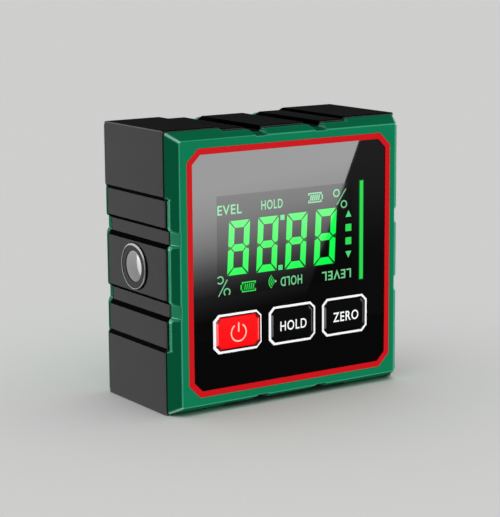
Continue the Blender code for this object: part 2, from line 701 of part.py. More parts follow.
def make_button_surround(name, across):
    """The white frame let into the window around a button."""
    outer = chamfered(SURROUND_WIDTH / 2, SURROUND_HEIGHT / 2, SURROUND_CHAMFER)
    inner = chamfered(BUTTON_WIDTH / 2, BUTTON_HEIGHT / 2, BUTTON_CHAMFER)
    start = FRONT + SURROUND_RECESS
    ring = frame_plate(name + "_button_surround", outer, inner, start, RECESS_FLOOR - INLAY_GAP)
    add_part(name + "_button_surround", ring, (across, 0, BUTTON_CENTRE), white_plastic)


def make_switch(name, across):
    """A push switch on the board: a square housing, and a round plunger that slides in its bore."""
    half = SWITCH_SIZE / 2
    place = Vector((across, 0, BUTTON_CENTRE))
    housing = box("switch_body", (-half, SWITCH_TOP, -half), (half, SWITCH_BASE, half))
    body = add_part(name + "_switch_body", housing, place, chip_plastic)
    bore = cylinder(
        "switch_bore",
        PLUNGER_RADIUS + BUTTON_GAP,
        SWITCH_TOP - FIT_GAP,
        SWITCH_BASE - SWITCH_FLOOR,
        segments=16,
    )
    combine(body, add_cutter(name + "_switch_bore", bore, place), "DIFFERENCE")
    plunger = cylinder("switch_plunger", PLUNGER_RADIUS, PLUNGER_TOP, PLUNGER_BOTTOM, segments=16)
    add_part(name + "_switch_plunger", plunger, place, white_plastic)


def board_screw_places():
    """The four screws that hold the board, near its top and bottom edges."""
    up = CAVITY_HALF - BOARD_SCREW_EDGE
    across = CAVITY_HALF - BOARD_SCREW_SIDE
    return {name: Vector((x * across, 0, MIDDLE + z * up)) for name, (x, z) in CORNERS.items()}


def make_main_board():
    blank = plate("main_board", cavity_outline(BOARD_GAP), BOARD_FRONT, BOARD_BACK)
    board = add_part("main_board", blank, (0, 0, MIDDLE), board_green)
    for name, place in board_screw_places().items():
        radius = BOARD_SCREW_RADIUS + FIT_GAP
        hole = cylinder("board_hole", radius, BOARD_FRONT - FIT_GAP, BOARD_BACK + FIT_GAP, segments=16)
        combine(board, add_cutter("board_hole_" + name, hole, place), "DIFFERENCE")


def make_board_chips():
    """The processor, the tilt sensor above it and the round buzzer, all on the back of the board."""
    base = BOARD_BACK + FIT_GAP
    half = PROCESSOR_SIZE / 2
    processor = box("processor_chip", (-half, base, -half), (half, base + PROCESSOR_HEIGHT, half))
    add_part("processor_chip", processor, (0, 0, MIDDLE), chip_plastic)
    half = SENSOR_SIZE / 2
    sensor = box("tilt_sensor", (-half, base, -half), (half, base + SENSOR_HEIGHT, half))
    add_part("tilt_sensor", sensor, (0, 0, MIDDLE + SENSOR_ABOVE_PROCESSOR), chip_plastic)
    profile = [
        (0, BUZZER_HEIGHT / 2),
        (BUZZER_HOLE_RADIUS, BUZZER_HEIGHT / 2),
        (BUZZER_HOLE_RADIUS, BUZZER_HEIGHT),
        (BUZZER_RADIUS, BUZZER_HEIGHT),
        (BUZZER_RADIUS, 0),
        (0, 0),
    ]
    place = Vector((CAVITY_HALF - BUZZER_EDGE, base, MIDDLE + BUZZER_UP))
    turned("buzzer", profile, place, Vector((0, 1, 0)), chip_plastic, segments=24)


def screw_profile(shank_radius, head_radius, head_height, length):
    """A pan-headed screw, from the middle of its head down to its tip. Zero is under the head."""
    return [
        (0, head_height),
        (0.6 * head_radius, head_height),
        (head_radius, 0.55 * head_height),
        (head_radius, 0),
        (shank_radius, 0),
        (shank_radius, -length + shank_radius),
        (0.4 * shank_radius, -length),
        (0, -length),
    ]


def make_rear_screws():
    """Four long screws, from the rear cover through the band's posts into the bezel."""
    under_head = BACK - REAR_HEAD_SUNK - REAR_HEAD_HEIGHT
    tip = RECESS_FLOOR + PANEL_THICKNESS / 2 + FIT_GAP
    profile = screw_profile(REAR_SCREW_RADIUS, REAR_HEAD_RADIUS, REAR_HEAD_HEIGHT, under_head - tip)
    for name, corner in corner_places(POST_CENTRE).items():
        place = corner + Vector((0, under_head, 0))
        turned("rear_screw_" + name, profile, place, Vector((0, 1, 0)), screw_steel, segments=16)


def make_board_screws():
    under_head = BOARD_BACK + FIT_GAP
    tip = BOARD_FRONT - BOARD_SCREW_BITE
    profile = screw_profile(BOARD_SCREW_RADIUS, BOARD_HEAD_RADIUS, BOARD_HEAD_HEIGHT, under_head - tip)
    for name, spot in board_screw_places().items():
        place = spot + Vector((0, under_head, 0))
        turned("board_screw_" + name, profile, place, Vector((0, 1, 0)), screw_steel, segments=12)


def door_screw_end():
    """How far in the door screw's hole reaches."""
    return DOOR_INSIDE - DOOR_SCREW_BITE


def make_battery_door():
    """The flat door over the batteries, with grip ridges and one screw in the tab below."""
    outline = door_outline(0)
    sections = [(DOOR_INSIDE, outline), (BACK - EDGE_CHAMFER, outline), (BACK, door_outline(-EDGE_CHAMFER))]
    centre = Vector((0, 0, MIDDLE))
    door = add_part("battery_door", loft("battery_door", sections), centre, cover_plastic)
    screw_place = Vector((0, 0, DOOR_SCREW_PLACE))
    hole = cylinder("door_hole", BOARD_SCREW_RADIUS + FIT_GAP, DOOR_SEAT, BACK + FIT_GAP, segments=16)
    combine(door, add_cutter("door_hole", hole, screw_place), "DIFFERENCE")
    head_depth = BACK - DOOR_THICKNESS / 2
    head_seat = cylinder("door_head_seat", BOARD_HEAD_RADIUS + FIT_GAP, head_depth, BACK + FIT_GAP)
    combine(door, add_cutter("door_head_seat", head_seat, screw_place), "DIFFERENCE")
    for count in range(DOOR_GRIP_COUNT):
        low = COMPARTMENT_RISE - (count + 1) * DOOR_GRIP_PITCH
        groove = box(
            "door_grip",
            (-DOOR_GRIP_LENGTH / 2, BACK - DOOR_GRIP_DEPTH, low),
            (DOOR_GRIP_LENGTH / 2, BACK + FIT_GAP, low + DOOR_GRIP_WIDTH),
        )
        combine(door, add_cutter("door_grip_%d" % (count + 1), groove, centre), "DIFFERENCE")


def make_door_screw():
    under_head = BACK - DOOR_THICKNESS / 2 + FIT_GAP
    tip = door_screw_end() + FIT_GAP
    head_height = BACK - under_head
    profile = screw_profile(BOARD_SCREW_RADIUS, BOARD_HEAD_RADIUS, head_height, under_head - tip)
    place = Vector((0, under_head, DOOR_SCREW_PLACE))
    turned("battery_door_screw", profile, place, Vector((0, 1, 0)), screw_steel, segments=16)


def make_batteries():
    """Two cells side by side, the upper one with its raised end to the left."""
    body_top = CELL_LENGTH - CELL_NUB_LENGTH
    profile = [
        (0, CELL_LENGTH),
        (CELL_NUB_RADIUS, CELL_LENGTH),
        (CELL_NUB_RADIUS, body_top),
        (CELL_RADIUS - CELL_ROUND, body_top),
        (CELL_RADIUS, body_top - CELL_ROUND),
        (CELL_RADIUS, CELL_ROUND),
        (CELL_RADIUS - CELL_ROUND, 0),
        (0, 0),
    ]
    raised_end = CONTACT_PLACE - FIT_GAP
    for name, way in (("upper", -1), ("lower", 1)):
        start = way * (raised_end - CELL_LENGTH)
        place = Vector((start, CELL_DEPTH, MIDDLE - way * CELL_SPACING / 2))
        turned(name + "_battery", profile, place, Vector((way, 0, 0)), cell_wrap, segments=24)


def make_battery_springs():
    """A coil spring at the flat end of each cell."""
    room_start = CONTACT_PLACE - FIT_GAP - CELL_LENGTH
    gap_end = CONTACT_PLACE - FIT_GAP
    for name, way in (("upper", 1), ("lower", -1)):
        start = -room_start + FIT_GAP + SPRING_WIRE
        end = gap_end - SPRING_WIRE
        points = []
        steps = 10 * SPRING_TURNS
        for step in range(steps + 1):
            share = step / steps
            angle = 2 * math.pi * SPRING_TURNS * share
            along = start + (end - start) * share
            points.append((along, SPRING_RADIUS * math.cos(angle), SPRING_RADIUS * math.sin(angle)))
        curve = bpy.data.curves.new(name + "_battery_spring", "CURVE")
        curve.dimensions = "3D"
        curve.bevel_depth = SPRING_WIRE
        curve.bevel_resolution = 1
        curve.use_fill_caps = True
        spline = curve.splines.new("POLY")
        spline.points.add(len(points) - 1)
        for point, (along, depth, up) in zip(spline.points, points):
            point.co = (way * along, depth, up, 1.0)
        curve.materials.append(contact_steel)
        spring = bpy.data.objects.new(name + "_battery_spring", curve)
        spring.location = (0, CELL_DEPTH, MIDDLE + way * CELL_SPACING / 2)
        gauge.objects.link(spring)


def make_contacts():
    """The bridging plate at the right end, and the two plates with tails to the board at the left."""
    low = CELL_DEPTH - CONTACT_DEPTH / 2
    high = CELL_DEPTH + CONTACT_DEPTH / 2
    reach = CELL_SPACING / 2 + CONTACT_WIDTH / 2
    bridge = box(
        "battery_bridge_plate",
        (CONTACT_PLACE, low, -reach),
        (CONTACT_PLACE + CONTACT_THICKNESS, high, reach),
    )
    add_part("battery_bridge_plate", bridge, (0, 0, MIDDLE), contact_steel)
    tail_end = BOARD_BACK + FIT_GAP
    half = CONTACT_WIDTH / 2
    tail = TAIL_WIDTH / 2
    for name, way in (("positive", 1), ("negative", -1)):
        outline = [
            (-half, high),
            (half, high),
            (half, low),
            (tail, low),
            (tail, tail_end),
            (-tail, tail_end),
            (-tail, low),
            (-half, low),
        ]
        blank = plate(name + "_contact", outline, 0, CONTACT_THICKNESS)
        blank.transform(Matrix(((0, 1, 0, 0), (0, 0, 1, 0), (1, 0, 0, 0), (0, 0, 0, 1))))
        place = (-CONTACT_PLACE - CONTACT_THICKNESS, 0, MIDDLE + way * CELL_SPACING / 2)
        add_part(name + "_contact", blank, place, contact_steel)


def make_magnet(name, outwards):
    """A steel cup let into a side of the band, with a round magnet held in its middle by a bush."""
    rim = SIDE / 2 - STEP_DEPTH + CUP_PROUD
    cup_bottom = rim - CUP_HEIGHT
    inside = cup_bottom + CUP_FLOOR
    place = Vector((0, MAGNET_PLACE, MIDDLE))
    wall_inside = CUP_RADIUS - CUP_WALL
    cup = [
        (wall_inside, rim),
        (CUP_RADIUS, rim),
        (CUP_RADIUS, cup_bottom),
        (0, cup_bottom),
    ]
    cup_floor = [(0, inside), (wall_inside, inside)]
    turned(name + "_magnet_cup", cup_floor + cup, place, outwards, plated_steel)
    bush_top = rim - BUSH_SUNK
    bush_bottom = inside + INLAY_GAP
    bush_inside = MAGNET_RADIUS + INLAY_GAP
    bush_outside = wall_inside - INLAY_GAP
    bush = [
        (bush_inside, bush_top),
        (bush_outside, bush_top),
        (bush_outside, bush_bottom),
        (bush_inside, bush_bottom),
    ]
    turned(name + "_magnet_bush", bush, place, outwards, band_plastic, closed=True)
    magnet_top = rim - MAGNET_SUNK
    magnet = [(0, magnet_top), (MAGNET_RADIUS, magnet_top), (MAGNET_RADIUS, bush_bottom), (0, bush_bottom)]
    turned(name + "_magnet", magnet, place, outwards, magnet_metal)


def shade_round_pieces():
    for obj in gauge.objects:
        if obj.type == "MESH" and obj.data.polygons:
            obj.data.shade_smooth()
            obj.data.set_sharp_from_angle(angle=math.radians(20))


clear_scene()
gauge = new_collection("digital_angle_gauge")
cutters = new_collection("cutters")

band_plastic = finish("dark grey plastic", (0.045, 0.045, 0.047), 0.5)
cover_plastic = finish("green plastic", (0.008, 0.19, 0.088), 0.42)
red_plastic = finish("red plastic", (0.62, 0.008, 0.016), 0.4)
white_plastic = finish("white plastic", (0.85, 0.85, 0.85), 0.4)
button_red = finish("red button plastic", (0.9, 0.003, 0.006), 0.4)
button_black = finish("black button plastic", (0.012, 0.012, 0.012), 0.4)
window_acrylic = finish("black backed acrylic", (0.01, 0.01, 0.01), 0.06)
display_glass = finish("display glass", (0.02, 0.05, 0.03), 0.1)
light_diffuser = finish("white diffuser", (0.8, 0.85, 0.8), 0.5)
dark_rubber = finish("dark rubber", (0.02, 0.02, 0.02), 0.8)
board_green = finish("green circuit board", (0.01, 0.12, 0.04), 0.45)
chip_plastic = finish("black moulding compound", (0.015, 0.015, 0.015), 0.5)
screw_steel = finish("zinc plated steel", (0.6, 0.6, 0.6), 0.3, 1.0)
contact_steel = finish("nickel plated steel", (0.66, 0.63, 0.58), 0.25, 1.0)
plated_steel = finish("polished nickel", (0.7, 0.7, 0.7), 0.15, 1.0)
magnet_metal = finish("satin nickel", (0.5, 0.5, 0.5), 0.3, 1.0)
cell_wrap = finish("grey battery wrap", (0.3, 0.3, 0.32), 0.4)

make_side_band()
make_front_bezel()
make_rear_cover()
make_trim_ring()
make_front_window()
make_display()
for label, offset in BUTTONS.items():
    make_button(label, offset, button_red if label == "power" else button_black)
    make_button_surround(label, offset)
    make_switch(label, offset)
make_main_board()
make_board_chips()
make_rear_screws()
make_board_screws()
make_battery_door()
make_door_screw()
make_batteries()
make_battery_springs()
make_contacts()
for label, direction in MAGNET_SIDES.items():
    make_magnet(label, direction)
shade_round_pieces()
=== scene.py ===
import math

import bmesh
import bpy
from mathutils import Matrix, Vector


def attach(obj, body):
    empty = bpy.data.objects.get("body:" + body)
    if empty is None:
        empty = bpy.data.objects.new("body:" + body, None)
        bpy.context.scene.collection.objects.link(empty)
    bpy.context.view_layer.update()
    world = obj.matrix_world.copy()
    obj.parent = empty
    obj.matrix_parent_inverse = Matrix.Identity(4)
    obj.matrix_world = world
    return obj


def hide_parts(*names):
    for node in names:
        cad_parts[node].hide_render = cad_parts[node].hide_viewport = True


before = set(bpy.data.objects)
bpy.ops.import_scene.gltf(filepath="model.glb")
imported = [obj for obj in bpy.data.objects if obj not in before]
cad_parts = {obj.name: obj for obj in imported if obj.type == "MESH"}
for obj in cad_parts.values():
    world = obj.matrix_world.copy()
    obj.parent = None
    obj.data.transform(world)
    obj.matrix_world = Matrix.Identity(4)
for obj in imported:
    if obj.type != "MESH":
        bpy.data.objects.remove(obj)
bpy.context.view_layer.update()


# Side band. The dark middle frame of the gauge: one ABS moulding with blocks, steps and grooves
# round all four sides. Its flat faces have a spark texture. The slopes between its steps are painted
# black as shade, so they mark each step where the flat faces look grey.

MIDDLE = 0.0305
MERGE = 2e-6
BAND_EDGE = 0.00016
BAND_OUTSIDE = 0.0288
BAND_CORNER = 0.0295
# How far a face leans: a slope more than this both sideways and up, a straight face less.
SLOPE = 0.2
STRAIGHT = 0.15
RIM_FACING = (-0.95, -0.3)
COLOUR_DRIFT = 0.006


def linear(code):
    """The linear colour of an sRGB hex value."""
    parts = [int(code[i:i + 2], 16) / 255 for i in (1, 3, 5)]
    return tuple(p / 12.92 if p <= 0.04045 else ((p + 0.055) / 1.055) ** 2.4 for p in parts) + (1.0,)


def add_node(tree, kind, settings=None, links=None):
    """Adds a node. Small-letter settings are its options, the others its sockets, and links feed sockets."""
    node = tree.nodes.new(kind)
    for name, value in (settings or {}).items():
        if isinstance(name, str) and name.islower():
            setattr(node, name, value)
        else:
            node.inputs[name].default_value = value
    for name, source in (links or {}).items():
        tree.links.new(source, node.inputs[name])
    return node


def new_finish(name, values):
    """A material by its real name, with values for its shader's sockets."""
    material = bpy.data.materials.new(name)
    material.use_nodes = True
    shader = material.node_tree.nodes["Principled BSDF"]
    for socket, value in values.items():
        shader.inputs[socket].default_value = value
    return material, material.node_tree, shader


# A mould's real texture is about 0.1 mm across, too fine to show, so it is drawn 0.2 to 0.5 mm wide.
def moulded(name, dark, light, roughness, grain, depth, specular):
    """Moulded plastic: a colour that drifts over a few millimetres, and the mould's fine texture."""
    material, tree, shader = new_finish(name, {"Roughness": roughness, "Specular IOR Level": specular})
    place = add_node(tree, "ShaderNodeTexCoord")
    vector = {"Vector": place.outputs["Object"]}
    drift = add_node(tree, "ShaderNodeTexNoise", {"Scale": 1 / COLOUR_DRIFT, "Detail": 3.0}, vector)
    colours = {"data_type": "RGBA", 6: linear(dark), 7: linear(light)}
    tint = add_node(tree, "ShaderNodeMix", colours, {0: drift.outputs["Fac"]})
    tree.links.new(tint.outputs[2], shader.inputs["Base Color"])
    texture = add_node(tree, "ShaderNodeTexNoise", {"Scale": 1 / grain, "Detail": 2.0}, vector)
    limits = {"From Min": 0.3, "From Max": 0.7, "To Min": roughness - 0.06, "To Max": roughness + 0.06}
    gloss = add_node(tree, "ShaderNodeMapRange", limits, {"Value": texture.outputs["Fac"]})
    tree.links.new(gloss.outputs["Result"], shader.inputs["Roughness"])
    relief = {"Strength": 0.6, "Distance": depth}
    bump = add_node(tree, "ShaderNodeBump", relief, {"Height": texture.outputs["Fac"]})
    tree.links.new(bump.outputs["Normal"], shader.inputs["Normal"])
    return material


def from_middle(spot):
    """How far a spot lies from the case's middle, sideways and up."""
    return abs(spot.x), abs(spot.z - MIDDLE)


def tilt(normal):
    """How far a face leans both sideways and up. An upright or a level face has none."""
    return min(abs(normal.x), abs(normal.z))


def merged_copy(node):
    """A copy of a CAD node's mesh, with its loose triangles joined into whole flat faces."""
    shape = bmesh.new()
    shape.from_mesh(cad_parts[node].data)
    bmesh.ops.remove_doubles(shape, verts=shape.verts, dist=MERGE)
    bmesh.ops.dissolve_limit(shape, angle_limit=math.radians(0.4), verts=shape.verts, edges=shape.edges)
    return shape


def piece_from(shape, name, materials):
    """An object at the origin, made of a finished bmesh."""
    mesh = bpy.data.meshes.new(name)
    shape.to_mesh(mesh)
    shape.free()
    for material in materials:
        mesh.materials.append(material)
    piece = bpy.data.objects.new(name, mesh)
    bpy.context.scene.collection.objects.link(piece)
    return piece


def plain_mesh(piece):
    """The mesh that a piece's modifiers or its letters give."""
    graph = bpy.context.evaluated_depsgraph_get()
    graph.update()
    return bpy.data.meshes.new_from_object(piece.evaluated_get(graph))


def settle(piece):
    """Puts the result of a piece's modifiers into its mesh."""
    mesh = plain_mesh(piece)
    mesh.name = piece.name
    piece.modifiers.clear()
    piece.data = mesh
    return piece


def rounded(piece, width, edge_slot=-1, limit="ANGLE"):
    """Rounds a piece's edges with a small bevel, as a mould does. Flat faces stay flat to the light."""
    piece.data.shade_smooth()
    bevel = piece.modifiers.new("edges", "BEVEL")
    bevel.width = width
    bevel.segments = 2
    bevel.limit_method = limit
    bevel.angle_limit = math.radians(30)
    bevel.use_clamp_overlap = limit == "ANGLE"
    bevel.material = edge_slot
    bevel.face_strength_mode = "FSTR_NEW"
    weighting = piece.modifiers.new("flat faces", "WEIGHTED_NORMAL")
    weighting.use_face_influence = True
    weighting.weight = 100
    return settle(piece)


# The spark texture scatters the light, so the flat faces are an even dark grey with no shine.
band_plastic = moulded("spark-textured black ABS", "#3B3B3C", "#3F3F40", 0.85, 0.00035, 8e-6, 0.01)
# Painted shade: black and without shine, so each slope is a dark stripe that marks its step.
shade_painted_black = moulded("smooth black ABS", "#020202", "#040404", 0.85, 0.0005, 4e-6, 0.002)
# Painted highlight: the corner blocks' edges are painted as a thin grey line of light.
band_corner_highlight_paint = moulded("rubbed black ABS edge", "#646260", "#6C6A68", 0.7, 0.0005, 4e-6, 0.02)
# Painted light: the rim is painted as light as the flat faces, though it turns from the lamps, so the seam
# beside it is one thin dark line.
band_rim_light_paint = moulded("rubbed black ABS rim", "#5A5A5A", "#606060", 0.8, 0.0005, 4e-6, 0.02)
shape = merged_copy("side_band")
# Slopes are painted black as shade, and at the corner blocks they get a painted highlight.
for face in shape.faces:
    spot = from_middle(face.calc_center_median())
    if max(spot) > BAND_OUTSIDE and tilt(face.normal) > SLOPE:
        face.material_index = 2 if min(spot) > BAND_CORNER else 1
finishes = [band_plastic, shade_painted_black, band_corner_highlight_paint, band_rim_light_paint]
band = rounded(piece_from(shape, "side_band_moulding", finishes), BAND_EDGE)
# The rim round the front is painted light at the sides, and painted black as shade at the top and the base.
for face in band.data.polygons:
    front_rim = RIM_FACING[0] < face.normal.y < RIM_FACING[1] and tilt(face.normal) < STRAIGHT
    if front_rim and max(from_middle(face.center)) > BAND_OUTSIDE:
        face.material_index = 3 if abs(face.normal.x) > abs(face.normal.z) else 1
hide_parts("side_band")
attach(band, "case")


# Covers. The green front bezel, rear cover and battery door: satin ABS mouldings. The covers taper
# from the band, and screws through it join them. Painted highlights show as thin pale lines on the edges.

COVER_EDGE = 0.00045
FINE_SHARE = 0.34
CORNER_SHARE = 0.55
COVER_OUTSIDE = 0.0272
COVER_CORNER = 0.0265
COVER_FRONT = -0.0153
DIAGONAL = 0.25
FOLD = math.radians(20)
cover_finishes = [moulded(*values) for values in (
    # Satin: a clean green with hardly any shine, so every facet keeps one shade of its own.
    ("satin green ABS", "#0C7850", "#0F7C53", 0.62, 0.0004, 4e-6, 0.012),
    # Painted highlight: thin pale lines along the edges, which draw the cover's shape.
    ("rubbed green ABS edge", "#389372", "#44A180", 0.5, 0.0004, 3e-6, 0.03),
    # Painted light: the slopes of the steps are a little lighter than the tapers, so the steps stand out
    # beside them.
    ("satin green ABS, step", "#1C9468", "#20986C", 0.62, 0.0004, 4e-6, 0.012),
    # Painted highlight: a bright mint on the slopes at the top that face left.
    ("polished green ABS, slope", "#7CF4C4", "#84F8CC", 0.5, 0.0004, 4e-6, 0.03),
    # Painted highlight: a pale mint where slanting facets meet at the corners, the cover's brightest lines.
    ("rubbed green ABS corner", "#A8E4CC", "#B4ECD6", 0.5, 0.0004, 3e-6, 0.03),
)]


def cover_moulding(node):
    """A cover. The front's right edge is rounded most, the corners less and the other edges least."""
    shape = merged_copy(node)
    share = shape.edges.layers.float.new("bevel_weight_edge")
    for edge in shape.edges:
        spots = [from_middle(vert.co) for vert in edge.verts]
        right_front = all(vert.co.x > COVER_OUTSIDE and vert.co.y < COVER_FRONT for vert in edge.verts)
        corner = all(min(spot) > COVER_OUTSIDE for spot in spots)
        if all(max(spot) > COVER_OUTSIDE for spot in spots) and edge.calc_face_angle(0.0) > FOLD:
            edge[share] = 1.0 if right_front else CORNER_SHARE if corner else FINE_SHARE
    # Slopes are painted lighter as lit, and those at the top that face left get a painted mint highlight.
    for face in shape.faces:
        spot = face.calc_center_median()
        if max(from_middle(spot)) > COVER_OUTSIDE and tilt(face.normal) > SLOPE:
            face.material_index = 3 if spot.z - MIDDLE > abs(spot.x) and face.normal.x < 0 else 2
    cover = rounded(piece_from(shape, node + "_moulding", cover_finishes), COVER_EDGE, 1, "WEIGHT")
    # The bevels where slanting facets meet at the corners get the brightest painted highlight.
    for face in cover.data.polygons:
        corner = min(from_middle(face.center)) > COVER_CORNER and tilt(face.normal) > DIAGONAL
        if face.material_index == 1 and corner:
            face.material_index = 4
    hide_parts(node)
    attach(cover, "case")
    return cover


cover_moulding("front_bezel")
rear = cover_moulding("rear_cover")
door = cover_moulding("battery_door")


# Red line round the window. A moulded frame of red ABS with cut corners. It is pressed into the
# bezel's recess and holds the window's edge.

RECESS_FLOOR = -0.01442
LINE_OUTSIDE = 0.0267
LINE_INSIDE = 0.02537
LINE_CUT = 0.002788
LINE_FRONT = -0.0155
LINE_SOFT = 0.00004
DIAGONAL_SHARE = 2 - math.sqrt(2)


def octagon(across, up, half_width, half_height, cut):
    """A rectangle with cut corners around a point (x, z)."""
    w, h = half_width, half_height
    corners = [(-w + cut, h), (w - cut, h), (w, h - cut), (w, -h + cut)]
    corners += [(w - cut, -h), (-w + cut, -h), (-w, -h + cut), (-w, h - cut)]
    return [(across + x, up + z) for x, z in corners]


def moulded_frame(loops):
    """A closed frame through loops of points, each loop an outline and its place along Y."""
    shape = bmesh.new()
    rings = [[shape.verts.new((x, y, z)) for x, z in outline] for outline, y in loops]
    for near, far in zip(rings, rings[1:] + rings[:1]):
        for i in range(len(near)):
            shape.faces.new((near[i - 1], near[i], far[i], far[i - 1]))
    bmesh.ops.recalc_face_normals(shape, faces=shape.faces)
    return shape


# A strong even red that frames the window.
red_plastic = moulded("red ABS", "#CA0F18", "#CE111A", 0.4, 0.0004, 3e-6, 0.04)
loops = []
for half, grow, fronts in (
    (LINE_OUTSIDE, 0.0, (RECESS_FLOOR, LINE_FRONT + LINE_SOFT)),
    (LINE_OUTSIDE, -LINE_SOFT, (LINE_FRONT,)),
    (LINE_INSIDE, LINE_SOFT, (LINE_FRONT,)),
    (LINE_INSIDE, 0.0, (LINE_FRONT + LINE_SOFT, RECESS_FLOOR)),
):
    cut = LINE_CUT + (grow - (LINE_OUTSIDE - half)) * DIAGONAL_SHARE
    loops += [(octagon(0, MIDDLE, half + grow, half + grow, cut), front) for front in fronts]
line = piece_from(moulded_frame(loops), "red_line", [red_plastic])
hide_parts("trim_ring")
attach(line, "case")


# Window. A flat sheet of clear acrylic, polished in front and printed black on its back. It lies in
# the bezel's recess, looks black and mirrors whatever stands before it.


def varied(name, values, socket, low, high, scale, detail, kind="ShaderNodeTexNoise", output="Fac"):
    """A finish of one colour. One of its sockets drifts from low to high in a pattern over the piece."""
    material, tree, shader = new_finish(name, values)
    place = add_node(tree, "ShaderNodeTexCoord")
    settings = {"Scale": scale, "Detail": detail}
    pattern = add_node(tree, kind, settings, {"Vector": place.outputs["Object"]})
    limits = {"To Min": low, "To Max": high}
    level = add_node(tree, "ShaderNodeMapRange", limits, {"Value": pattern.outputs[output]})
    tree.links.new(level.outputs["Result"], shader.inputs[socket])
    return material


# Polished: a sharp mirror over a black that swallows the rest. A faint haze drifts over 11 mm.
acrylic = {"Base Color": linear("#060606"), "Roughness": 0.015, "IOR": 1.49}
window_acrylic = varied("black-backed acrylic", acrylic, "Roughness", 0.01, 0.03, 90.0, 4.0)
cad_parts["front_window"].material_slots[0].material = window_acrylic


# Button outlines. White ABS frames with cut corners, let into the window round each button. Each
# has a black flange below its white line, and the wall beside the button that faces the light is painted
# lighter.

BUTTON_PLACES = {"power": -0.0142, "hold": 0.0, "zero": 0.0142}
OUTLINE_SHIFTS = {"power": -0.00012, "hold": 0.0, "zero": 0.00008}
BUTTON_HEIGHT = 0.016935
INSIDE_SHIFT = 0.0001
OUTLINE_FRONT = -0.01538
OUTLINE_SOFT = OUTLINE_FRONT + 0.00003
FLANGE_FRONT = -0.01532
# A clean white line, bright enough to read as a print.
white_plastic = moulded("white ABS", "#F8F8F8", "#FCFCFC", 0.45, 0.0004, 3e-6, 0.1)
# Matt black: it is lost against the window.
flange_black = moulded("black ABS flange", "#020202", "#040404", 0.6, 0.0004, 3e-6, 0.02)
# Painted light: the wall that faces the light is painted a soft grey line beside the black buttons.
lit_wall_paint_grey = moulded("grey ABS wall", "#6E6E6E", "#767676", 0.6, 0.0004, 3e-6, 0.02)
# Painted light: the same wall beside the red button is painted pink with its colour.
lit_wall_paint_pink = moulded("pink ABS wall", "#FF6A64", "#FF726C", 0.6, 0.0004, 3e-6, 0.02)
lit_wall_paints = {"power": lit_wall_paint_pink, "hold": lit_wall_paint_grey, "zero": lit_wall_paint_grey}
for label, across in BUTTON_PLACES.items():
    shift = OUTLINE_SHIFTS[label]
    # Each row is one outline's shift, half width, half height and cut, and its places along Y.
    rows = (
        (0.0, 0.00649, 0.004415, 0.0015, (RECESS_FLOOR, FLANGE_FRONT)),
        (shift, 0.0062, 0.00429, 0.00128, (FLANGE_FRONT, OUTLINE_SOFT)),
        (shift, 0.00617, 0.00426, 0.00127, (OUTLINE_FRONT,)),
        (INSIDE_SHIFT, 0.00571, 0.0038, 0.00102, (OUTLINE_FRONT,)),
        (INSIDE_SHIFT, 0.00568, 0.00377, 0.001, (OUTLINE_SOFT, FLANGE_FRONT)),
        (0.0, 0.00562, 0.003545, 0.00094, (FLANGE_FRONT, RECESS_FLOOR)),
    )
    loops = []
    for aside, *sizes, fronts in rows:
        loops += [(octagon(across + aside, BUTTON_HEIGHT, *sizes), front) for front in fronts]
    shape = moulded_frame(loops)
    for face in shape.faces:
        spot = face.calc_center_median()
        behind = spot.y > FLANGE_FRONT - MERGE / 2
        lit_wall = face.normal.x < -0.5 and spot.x > across
        face.material_index = 2 if behind and lit_wall else int(behind)
    piece = piece_from(shape, label + "_outline", [white_plastic, flange_black, lit_wall_paints[label]])
    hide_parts(label + "_button_surround")
    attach(piece, "case")


# Buttons. Moulded ABS caps that slide in their outlines, one red and two black, with sloped edges
# that carry painted glints and painted shade. Their words and the power sign are printed on, a hair proud of
# the cap's face.

CAP_FACE = -0.01547
CAP_EDGE = 0.00005
CAP_SLOPE = (0.3, 0.98)
PRINT_FRONT = -0.0155
WORD_HALF = (0.0035, 0.0011)
WORD_SWELL = 0.011
SIGN_RADIUS = 0.0019
SIGN_STROKE = 0.0003
# The most vivid colour of all, so the eye finds the power button first.
button_red = moulded("bright red ABS", "#FF060E", "#FF0A12", 0.4, 0.0004, 3e-6, 0.06)
# A painted pink glint down the sloped sides.
button_red_glint = moulded("bright red ABS, side edge", "#FF5A5A", "#FF6262", 0.35, 0.0004, 3e-6, 0.3)
# Painted shade: dark red where the corners turn from the light.
button_red_shade = moulded("bright red ABS, corner edge", "#8C0C10", "#960E12", 0.4, 0.0004, 3e-6, 0.15)
# As black as the window, so only the outline and the word show.
button_black = moulded("black ABS", "#090909", "#0B0B0B", 0.4, 0.0004, 3e-6, 0.01)
# A painted grey glint down the sloped sides and at one corner.
button_black_glint = moulded("black ABS, side edge", "#4A4A4A", "#525252", 0.35, 0.0004, 3e-6, 0.3)
# Flat opaque ink: crisp white words.
print_white = moulded("white print", "#FCFCFC", "#FFFFFF", 0.5, 0.0003, 2e-6, 0.1)
# Thinner ink that the red shines through: a cream sign.
print_cream = moulded("cream print", "#FFC8B4", "#FFD0BC", 0.5, 0.0003, 2e-6, 0.1)


def button_cap(label, materials):
    """A button's cap, whose side slopes and corners carry painted glints and painted shade."""
    shape = merged_copy(label + "_button")
    for vert in shape.verts:
        vert.co.y = max(vert.co.y, CAP_FACE)
    for face in shape.faces:
        if CAP_SLOPE[0] < -face.normal.y < CAP_SLOPE[1] and abs(face.normal.x) > SLOPE:
            face.material_index = 1
            if abs(face.normal.z) > SLOPE:
                face.material_index = 2 if face.normal.x > 0 and face.normal.z > 0 else 3
    cap = rounded(piece_from(shape, label + "_cap", materials), CAP_EDGE)
    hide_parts(label + "_button")
    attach(cap, label + "_key")


